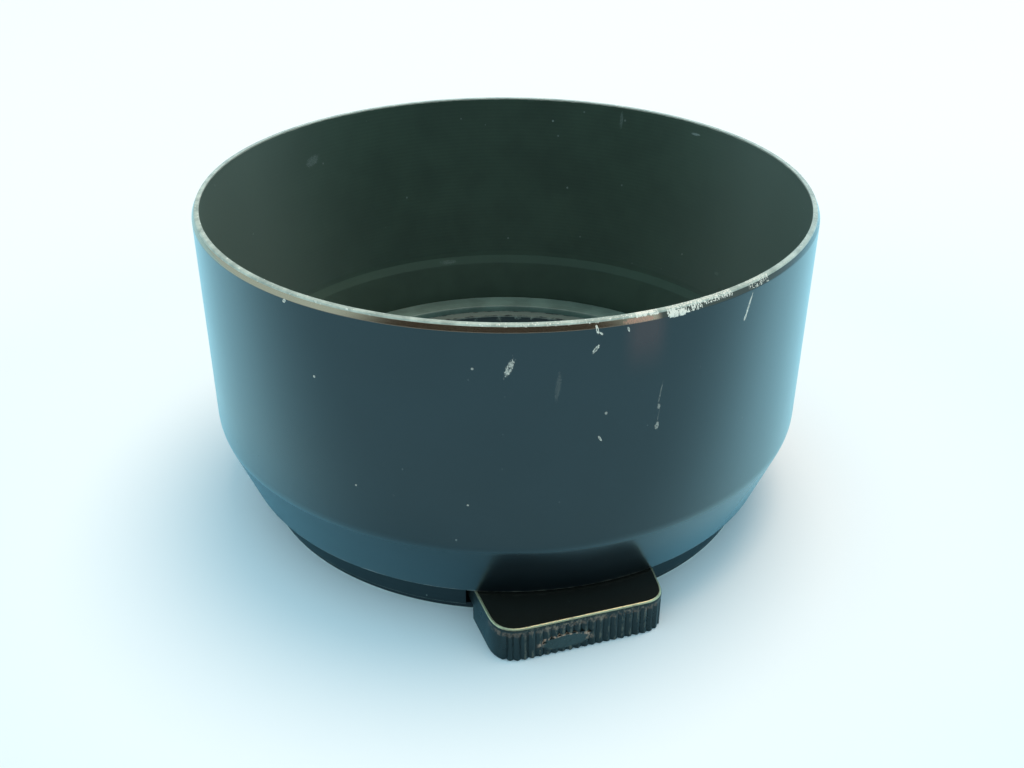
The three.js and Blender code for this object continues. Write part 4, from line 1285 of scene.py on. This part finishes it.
class LENSHOOD_OT_latch_arms(bpy.types.Operator):
    """Cuts the sprung latch arm from flat steel and copies it to the other side"""

    bl_idname = "lens_hood.latch_arms"
    bl_label = "Latch arms"

    def execute(self, context):
        def neck(azimuth):
            travel = math.radians(PRESS_ANGLE) * (PIVOT[0] - PIVOT_R * math.sin(math.radians(azimuth)))
            reach = SLEEVE_R + 0.27 + travel
            return place(azimuth, reach, ARM_FOOT)

        blade = [(2, 30.3), (13, 29.95), (25, 29.4), (33, 29.2), (41, 29.0), (47, 28.9)]
        outline = [place(PIVOT_AZ, 30.34, ARM_FOOT)]
        for (turn_a, radius_a), (turn_b, radius_b) in zip(blade, blade[1:]):
            steps = 4
            for k in range(steps):
                t = k / steps
                azimuth = PIVOT_AZ + turn_a + (turn_b - turn_a) * t
                outline.append(place(azimuth, radius_a + (radius_b - radius_a) * t, ARM_FOOT))
        outline.append(place(PIVOT_AZ + 47, 28.9, ARM_FOOT))
        outline += arc(28.3, PIVOT_AZ + 47, 67.4, 1.5, ARM_FOOT)
        outline += arc(26.95, 67.4, 52.4, 1.5, ARM_FOOT)
        outline += arc(28.3, 52.4, PIVOT_AZ, 1.5, ARM_FOOT)
        outline += [neck(24.9 * (1 - k / 12)) for k in range(13)]
        left_azimuth = math.degrees(math.asin(-7.8 / TAB_INNER_R))
        outline += [neck(left_azimuth * k / 4) for k in range(1, 5)]
        slope = (TAB_FRONT_RIGHT[1] - TAB_FRONT_LEFT[1]) / (TAB_FRONT_RIGHT[0] - TAB_FRONT_LEFT[0])
        for x in (-7.8, 8.7):
            front = TAB_FRONT_LEFT[1] + slope * (x - TAB_FRONT_LEFT[0])
            outline.append(Vector((x, front + 2.2, ARM_FOOT)) * MM)
        outline.append(Vector((8.7, TAB_LIP_Y, ARM_FOOT)) * MM)
        outline += [place(19.2, 30.3, ARM_FOOT), place(23.2, 30.06, ARM_FOOT)]
        front_arm = plate("latch_arm_front_blade", outline, ARM_TOP - ARM_FOOT)
        lead_in = turned("claw_lead_in", profile([(25.5, 0.0, 0.0), (27.4 + 1.0, 0.0, 0.0), (25.95, 2.45, 0.0)]), 160)
        cut_away(front_arm, [lead_in])
        soften(front_arm, 0.06)
        cut_away(front_arm, [pin_hole("arm_hole", 0.56, 0.0, 3.0)] + tab_screw_holes("arm_screw_hole"))
        shade(front_arm)
        coat(front_arm, bright_metal("latch_arm_steel", colours().arm_steel, 0.3, 0.45, 12.0, 0.4))
        settle_pair(front_arm, "{}_latch", "latch_arm")
        return {"FINISHED"}


class LENSHOOD_OT_release_tabs(bpy.types.Operator):
    """Shapes the ribbed squeeze tab and copies it to the other side"""

    bl_idname = "lens_hood.release_tabs"
    bl_label = "Release tabs"

    def execute(self, context):
        size = sizes()
        # The foot keeps a sharp edge: the rounded foot of a taller block is cut off.
        tab = plate("release_tab_front_grip", tab_outline(TAB_FOOT - 1.0), TAB_TOP - TAB_FOOT + 1.0)
        soften(tab, size.tab_edge / MM, 4)
        cut_away(tab, [box_between("foot_trim", (-20.0, -50.0, -3.0), (20.0, -20.0, TAB_FOOT))])
        under = box_between("under_lip", (-14.0, TAB_LIP_Y, -1.0), (14.0, -20.0, ARM_TOP))
        cut_away(tab, [under])
        slope = (TAB_FRONT_RIGHT[1] - TAB_FRONT_LEFT[1]) / (TAB_FRONT_RIGHT[0] - TAB_FRONT_LEFT[0])
        left, right = -7.85, 8.75
        slot = plate("pad_slot", [Vector((x, y, ARM_FOOT)) * MM for x, y in (
            (left, TAB_LIP_Y + 1), (left, TAB_FRONT_LEFT[1] + slope * (left - TAB_FRONT_LEFT[0]) + 2.15),
            (right, TAB_FRONT_LEFT[1] + slope * (right - TAB_FRONT_LEFT[0]) + 2.15), (right, TAB_LIP_Y + 1))],
            ARM_TOP - ARM_FOOT)
        cut_away(tab, [slot])
        for pocket in self.spring_pockets():
            cut_away(tab, [pocket])
        cut_away(tab, tab_screw_holes("tab_screw_hole"))
        cut_away(tab, self.grooves(size.rib_count, size.rib_depth / MM))
        shade(tab, 32)
        coat(tab, tab_satin())
        settle_pair(tab, "{}_latch", "release_tab")
        return {"FINISHED"}

    def spring_pockets(self):
        """Cutters for the coil's place in the tab, at rest, half pressed and fully pressed."""
        pockets = []
        for share in (0.0, 0.5, 1.0):
            depth = SPRING_LENGTH * (1 - share * (1 - SPRING_KEEP)) + 0.2
            plain = round_hole("spring_pocket_plain", POCKET_R, 0.0, depth)
            plain.rotation_euler.x = math.radians(90)
            plain.location = Vector((SPRING_X, SPRING_START_Y, SPRING_Z)) * MM
            select_only(plain)
            bpy.ops.object.transform_apply(location=True, rotation=True, scale=True)
            pockets.append(copy_of(plain, f"spring_pocket_{len(pockets)}", PRESS_ANGLE * share, PIVOT))
            bpy.data.objects.remove(plain)
        return pockets

    def groove(self, name, depth, half, low, high, point):
        """A groove cutter between two heights, with a point of that height on top."""
        wide = half * (depth + 0.3) / depth
        outline = [Vector((-wide, -0.3, low)), Vector((wide, -0.3, low)), Vector((0.0, depth, low))]
        made = plate(name, [p * MM for p in outline], high - low)
        if point:
            select_only(made)
            top = (high - 0.01) * MM
            for vertex in made.data.vertices:
                vertex.select = vertex.co.z > top
            for edge in made.data.edges:
                edge.select = all(made.data.vertices[v].co.z > top for v in edge.vertices)
            for polygon in made.data.polygons:
                polygon.select = all(made.data.vertices[v].co.z > top for v in polygon.vertices)
            bpy.ops.object.mode_set(mode="EDIT")
            rise = (0.0, -(depth + 0.03) * MM, point * MM)
            bpy.ops.mesh.extrude_region_move(TRANSFORM_OT_translate={"value": rise})
            leave_edit()
            tidy_mesh(made)
        return made

    def grooves(self, count, depth):
        """Pointed groove cutters copied along the tab's front. A few stop short, where the grip is worn flat."""
        at, length = front_path()
        half = length * RIBS_RUN / count * 0.42
        whole = self.groove("groove_whole", depth, half, GROOVE_FOOT, GROOVE_TOP, GROOVE_POINT)
        cutters = []
        plains = [whole]
        for i in range(count):
            here, outward = at(RIBS_FROM + RIBS_RUN * (i + 0.5) / count)
            turn = math.degrees(math.atan2(outward.x, -outward.y))
            pieces = [whole]
            if i in SHORT_GROOVES:
                top, foot = SHORT_GROOVES[i]
                pieces = [
                    self.groove(f"groove_upper_{i}", depth, half, top, GROOVE_TOP, GROOVE_POINT),
                    self.groove(f"groove_lower_{i}", depth, half, GROOVE_FOOT, foot, 0.0)]
                plains += pieces
            for k, plain in enumerate(pieces):
                made = copy_of(plain, f"groove_{i}_{k}")
                made.rotation_euler.z = math.radians(turn)
                made.location = Vector((here.x, here.y, 0.0)) * MM
                select_only(made)
                bpy.ops.object.transform_apply(location=True, rotation=True, scale=True)
                cutters.append(made)
        for plain in plains:
            bpy.data.objects.remove(plain)
        return cutters


class LENSHOOD_OT_tab_screws(bpy.types.Operator):
    """Makes one tab screw and copies it to the four places under the tabs"""

    bl_idname = "lens_hood.tab_screws"
    bl_label = "Tab screws"

    def execute(self, context):
        x, y = TAB_SCREWS[0]
        first = screw_piece("tab_screw_plain", x, y, TAB_SCREW)
        coat(first, bright_metal("tab_screw_steel", colours().dark_steel, 0.26, 0.4, 70.0))
        for i, place_mm in enumerate(TAB_SCREWS):
            shift = Vector((place_mm[0] - x, place_mm[1] - y, 0.0)) * MM
            for side, turn in (("front", 0), ("back", -180)):
                spin = TAB_SCREW_TURNS[i + (2 if turn else 0)]
                spun = copy_of(first, f"tab_screw_spun_{side}_{i + 1}", spin, (x, y))
                screw = moved_copy(spun, f"tab_screw_slotted_{side}_{i + 1}", shift)
                bpy.data.objects.remove(spun)
                turn_piece(screw, turn)
                settle(screw, side + "_latch", f"tab_screw_{side}_{i + 1}")
        bpy.data.objects.remove(first)
        return {"FINISHED"}


class LENSHOOD_OT_return_springs(bpy.types.Operator):
    """Winds the return spring from a ring of wire and copies it to the other side"""

    bl_idname = "lens_hood.return_springs"
    bl_label = "Return springs"

    def execute(self, context):
        wire = sizes().wire_radius
        deselect_all()
        bpy.ops.mesh.primitive_circle_add(
            vertices=14, radius=wire, fill_type="NOTHING", location=(0.6 * MM, 0.0, 0.0), rotation=(0.0, 0.0, 0.0))
        coil = bpy.context.object
        coil.name = coil.data.name = "return_spring_front_coil"
        bpy.ops.object.transform_apply(location=True, rotation=True, scale=True)
        bpy.ops.object.modifier_add(type="SCREW")
        screw = coil.modifiers[-1]
        screw.axis = "Y"
        screw.angle = 2 * math.pi
        screw.screw_offset = -SPRING_LENGTH * MM / 5
        screw.iterations = 5
        screw.steps = screw.render_steps = 28
        screw.use_merge_vertices = False
        bpy.ops.object.modifier_apply(modifier=screw.name)
        tidy_mesh(coil)
        coil.location = Vector((SPRING_X, SPRING_START_Y, SPRING_Z)) * MM
        bpy.ops.object.transform_apply(location=True, rotation=True, scale=True)
        shade(coil, 50)
        coat(coil, bright_metal("spring_wire_steel", colours().steel, 0.2, 0.34, 0.0, 0.3))
        for piece, side, sign in settle_pair(coil, "hood", "return_spring"):
            side + "_latch_press"
            sign * SPRING_X * MM
            sign * SPRING_START_Y * MM
            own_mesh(piece)
        return {"FINISHED"}


class LENSHOOD_OT_pivot_pins(bpy.types.Operator):
    """Turns the pivot pin and copies it to the other side"""

    bl_idname = "lens_hood.pivot_pins"
    bl_label = "Pivot pins"

    def execute(self, context):
        pin = small_turned("pivot_pin_front_turned", [
            (0.0, 0.15, 0.0), (0.5, 0.15, 0.1), (0.5, 5.2, 0.12), (0.0, 5.2, 0.0)], *PIVOT)
        shade(pin, 40)
        coat(pin, bright_metal("pin_ground_steel", colours().steel, 0.18, 0.3, 45.0, 0.2))
        settle_pair(pin, "hood", "pivot_pin")
        return {"FINISHED"}


class LENSHOOD_OT_pivot_spacers(bpy.types.Operator):
    """Turns the pivot spacer and copies it to the other side"""

    bl_idname = "lens_hood.pivot_spacers"
    bl_label = "Pivot spacers"

    def execute(self, context):
        spacer = small_turned("pivot_spacer_front_turned", [
            (0.56, 2.05, 0.04), (0.936, 2.05, 0.08), (0.936, 4.35, 0.08), (0.56, 4.35, 0.04)], *PIVOT)
        shade(spacer, 40)
        coat(spacer, bright_metal("spacer_turned_brass", colours().spacer_brass, 0.24, 0.38, 0.0, 0.35))
        settle_pair(spacer, "hood", "pivot_spacer")
        return {"FINISHED"}


# ---------------------------------------------------------------- stage

def floor_paper():
    """Pale paper of the floor, with painted light: lighter far behind the hood, towards the lamp, and paler close round
    the hood against its shadow.
    """
    colour = colours()
    material, sheet, shader = new_material("floor_paper")
    where = sheet.add("ShaderNodeTexCoord").outputs["Object"]
    clouds = sheet.noise(where, 6.0, 3.0, 0.5)
    fibres = sheet.noise(where, 900.0, 2.0, 0.6)
    # Painted light: the floor grows lighter towards the back.
    far = sheet.math("ADD", sheet.ramp(sheet.parts(where)[1], -0.10, 0.12), (clouds - 0.5) * 0.3, clamp=True)
    base = sheet.mix(far, colour.floor, colour.floor_far)
    # Painted light: the floor close round the hood is painted paler, lifting the hood's shadow.
    spread = sheet.add("ShaderNodeVectorMath", operation="LENGTH")
    sheet.feed(spread.inputs[0], where)
    base = sheet.mix(sheet.ramp(spread.outputs["Value"], 0.042, 0.085, 1.0, 0.0), base, colour.floor_near)
    gloss = sheet.add("ShaderNodeLightPath").outputs["Is Glossy Ray"]
    base = sheet.mix(gloss, base, colour.gloss_floor)
    finish_material(sheet, shader, base, 0.85, 0.0, fibres, 0.06, 0.05)
    shader.inputs["Specular IOR Level"].default_value = 0.1
    return material


def room_world():
    """Even light from all round. The camera and gloss see a white room with one dark side."""
    colour = colours()
    world = bpy.data.worlds.new("room")
    bpy.context.scene.world = world
    world.use_nodes = True
    sheet = Sheet(world.node_tree)
    background = next(n for n in world.node_tree.nodes if n.type == "BACKGROUND")
    rays = sheet.add("ShaderNodeLightPath").outputs
    direction = sheet.add("ShaderNodeTexCoord").outputs["Generated"]
    turned_sky = sheet.add("ShaderNodeMapping", vector_type="POINT")
    sheet.feed(turned_sky.inputs["Vector"], direction)
    turned_sky.inputs["Rotation"].default_value = (0.0, 0.0, math.radians(14.5))
    x, y, z = sheet.parts(turned_sky.outputs[0])
    azimuth = sheet.math("ABSOLUTE", sheet.math("DEGREES", sheet.math("ARCTAN2", x, y * -1.0)))
    dark = sheet.ramp(azimuth, 34.0, 60.0, 1.0, 0.0) * sheet.ramp(z, 0.75, 0.9, 1.0, 0.0)
    gloss = sheet.mix(dark, colour.gloss_room, colour.room_dark)
    seen = sheet.mix(rays["Is Glossy Ray"], colour.fill_light, gloss)
    sheet.feed(background.inputs["Color"], sheet.mix(rays["Is Camera Ray"], seen, colour.room))
    background.inputs["Strength"].default_value = 1.0


class LENSHOOD_OT_stage(bpy.types.Operator):
    """Lays the pale floor, sets the soft light and places the camera"""

    bl_idname = "lens_hood.stage"
    bl_label = "Stage"

    def execute(self, context):
        deselect_all()
        bpy.ops.mesh.primitive_plane_add(size=sizes().floor_size, location=(0.0, 0.0, -0.00002))
        floor = context.object
        floor.name = "floor"
        bpy.ops.object.transform_apply(location=True, rotation=True, scale=True)
        coat(floor, floor_paper())
        room_world()

        deselect_all()
        spot = Vector((0.34, 0.30, 1.53))
        bpy.ops.object.light_add(type="AREA", location=spot)
        lamp = context.object
        lamp.name = "soft_key"
        lamp.data.shape = "DISK"
        lamp.data.size = 0.9
        lamp.data.color = colours().key_light
        lamp.data.energy = 12.2
        lamp.rotation_euler = (-spot).to_track_quat("-Z", "Y").to_euler()

        deselect_all()
        bpy.ops.object.camera_add(
            location=(-0.02491, -0.12815, 0.08685),
            rotation=(math.radians(59.869), math.radians(-0.2494), math.radians(-11.1974)))
        camera = context.object
        camera.name = "camera"
        camera.data.lens = 41.21
        camera.data.sensor_width = 36.0
        camera.data.clip_start = 0.005
        camera.data.clip_end = 50.0
        context.scene.camera = camera
        context.scene.view_settings.view_transform = "Standard"
        return {"FINISHED"}


PIECE_OPERATORS = (
    LENSHOOD_OT_barrel, LENSHOOD_OT_mount_ring, LENSHOOD_OT_lock_ring, LENSHOOD_OT_cover_plate,
    LENSHOOD_OT_cover_screws, LENSHOOD_OT_latch_arms, LENSHOOD_OT_release_tabs, LENSHOOD_OT_tab_screws,
    LENSHOOD_OT_return_springs, LENSHOOD_OT_pivot_pins, LENSHOOD_OT_pivot_spacers, LENSHOOD_OT_stage,
)


class LENSHOOD_PT_panel(bpy.types.Panel):
    """Lists the settings and the operators"""

    bl_label = "Lens Hood"
    bl_idname = "LENSHOOD_PT_panel"
    bl_space_type = "VIEW_3D"
    bl_region_type = "UI"
    bl_category = "Lens Hood"

    def draw(self, context):
        column = self.layout.column()
        for group in (context.scene.hood_sizes, context.scene.hood_colours):
            for name in group.__annotations__:
                column.prop(group, name)
        for operator in PIECE_OPERATORS:
            column.operator(operator.bl_idname)


CLASSES = (HoodSizes, HoodColours, *PIECE_OPERATORS, LENSHOOD_PT_panel)


def register():
    for cls in CLASSES:
        bpy.utils.register_class(cls)
    bpy.types.Scene.hood_sizes = bpy.props.PointerProperty(type=HoodSizes)
    bpy.types.Scene.hood_colours = bpy.props.PointerProperty(type=HoodColours)


def unregister():
    del bpy.types.Scene.hood_sizes
    del bpy.types.Scene.hood_colours
    for cls in reversed(CLASSES):
        bpy.utils.unregister_class(cls)


def main():
    register()
    build_node_groups()
    build_rib_crest()
    bpy.ops.lens_hood.barrel()
    bpy.ops.lens_hood.mount_ring()
    bpy.ops.lens_hood.lock_ring()
    bpy.ops.lens_hood.cover_plate()
    bpy.ops.lens_hood.cover_screws()
    bpy.ops.lens_hood.latch_arms()
    bpy.ops.lens_hood.release_tabs()
    bpy.ops.lens_hood.tab_screws()
    bpy.ops.lens_hood.return_springs()
    bpy.ops.lens_hood.pivot_pins()
    bpy.ops.lens_hood.pivot_spacers()
    bpy.ops.lens_hood.stage()


if __name__ == "__main__":
    main()
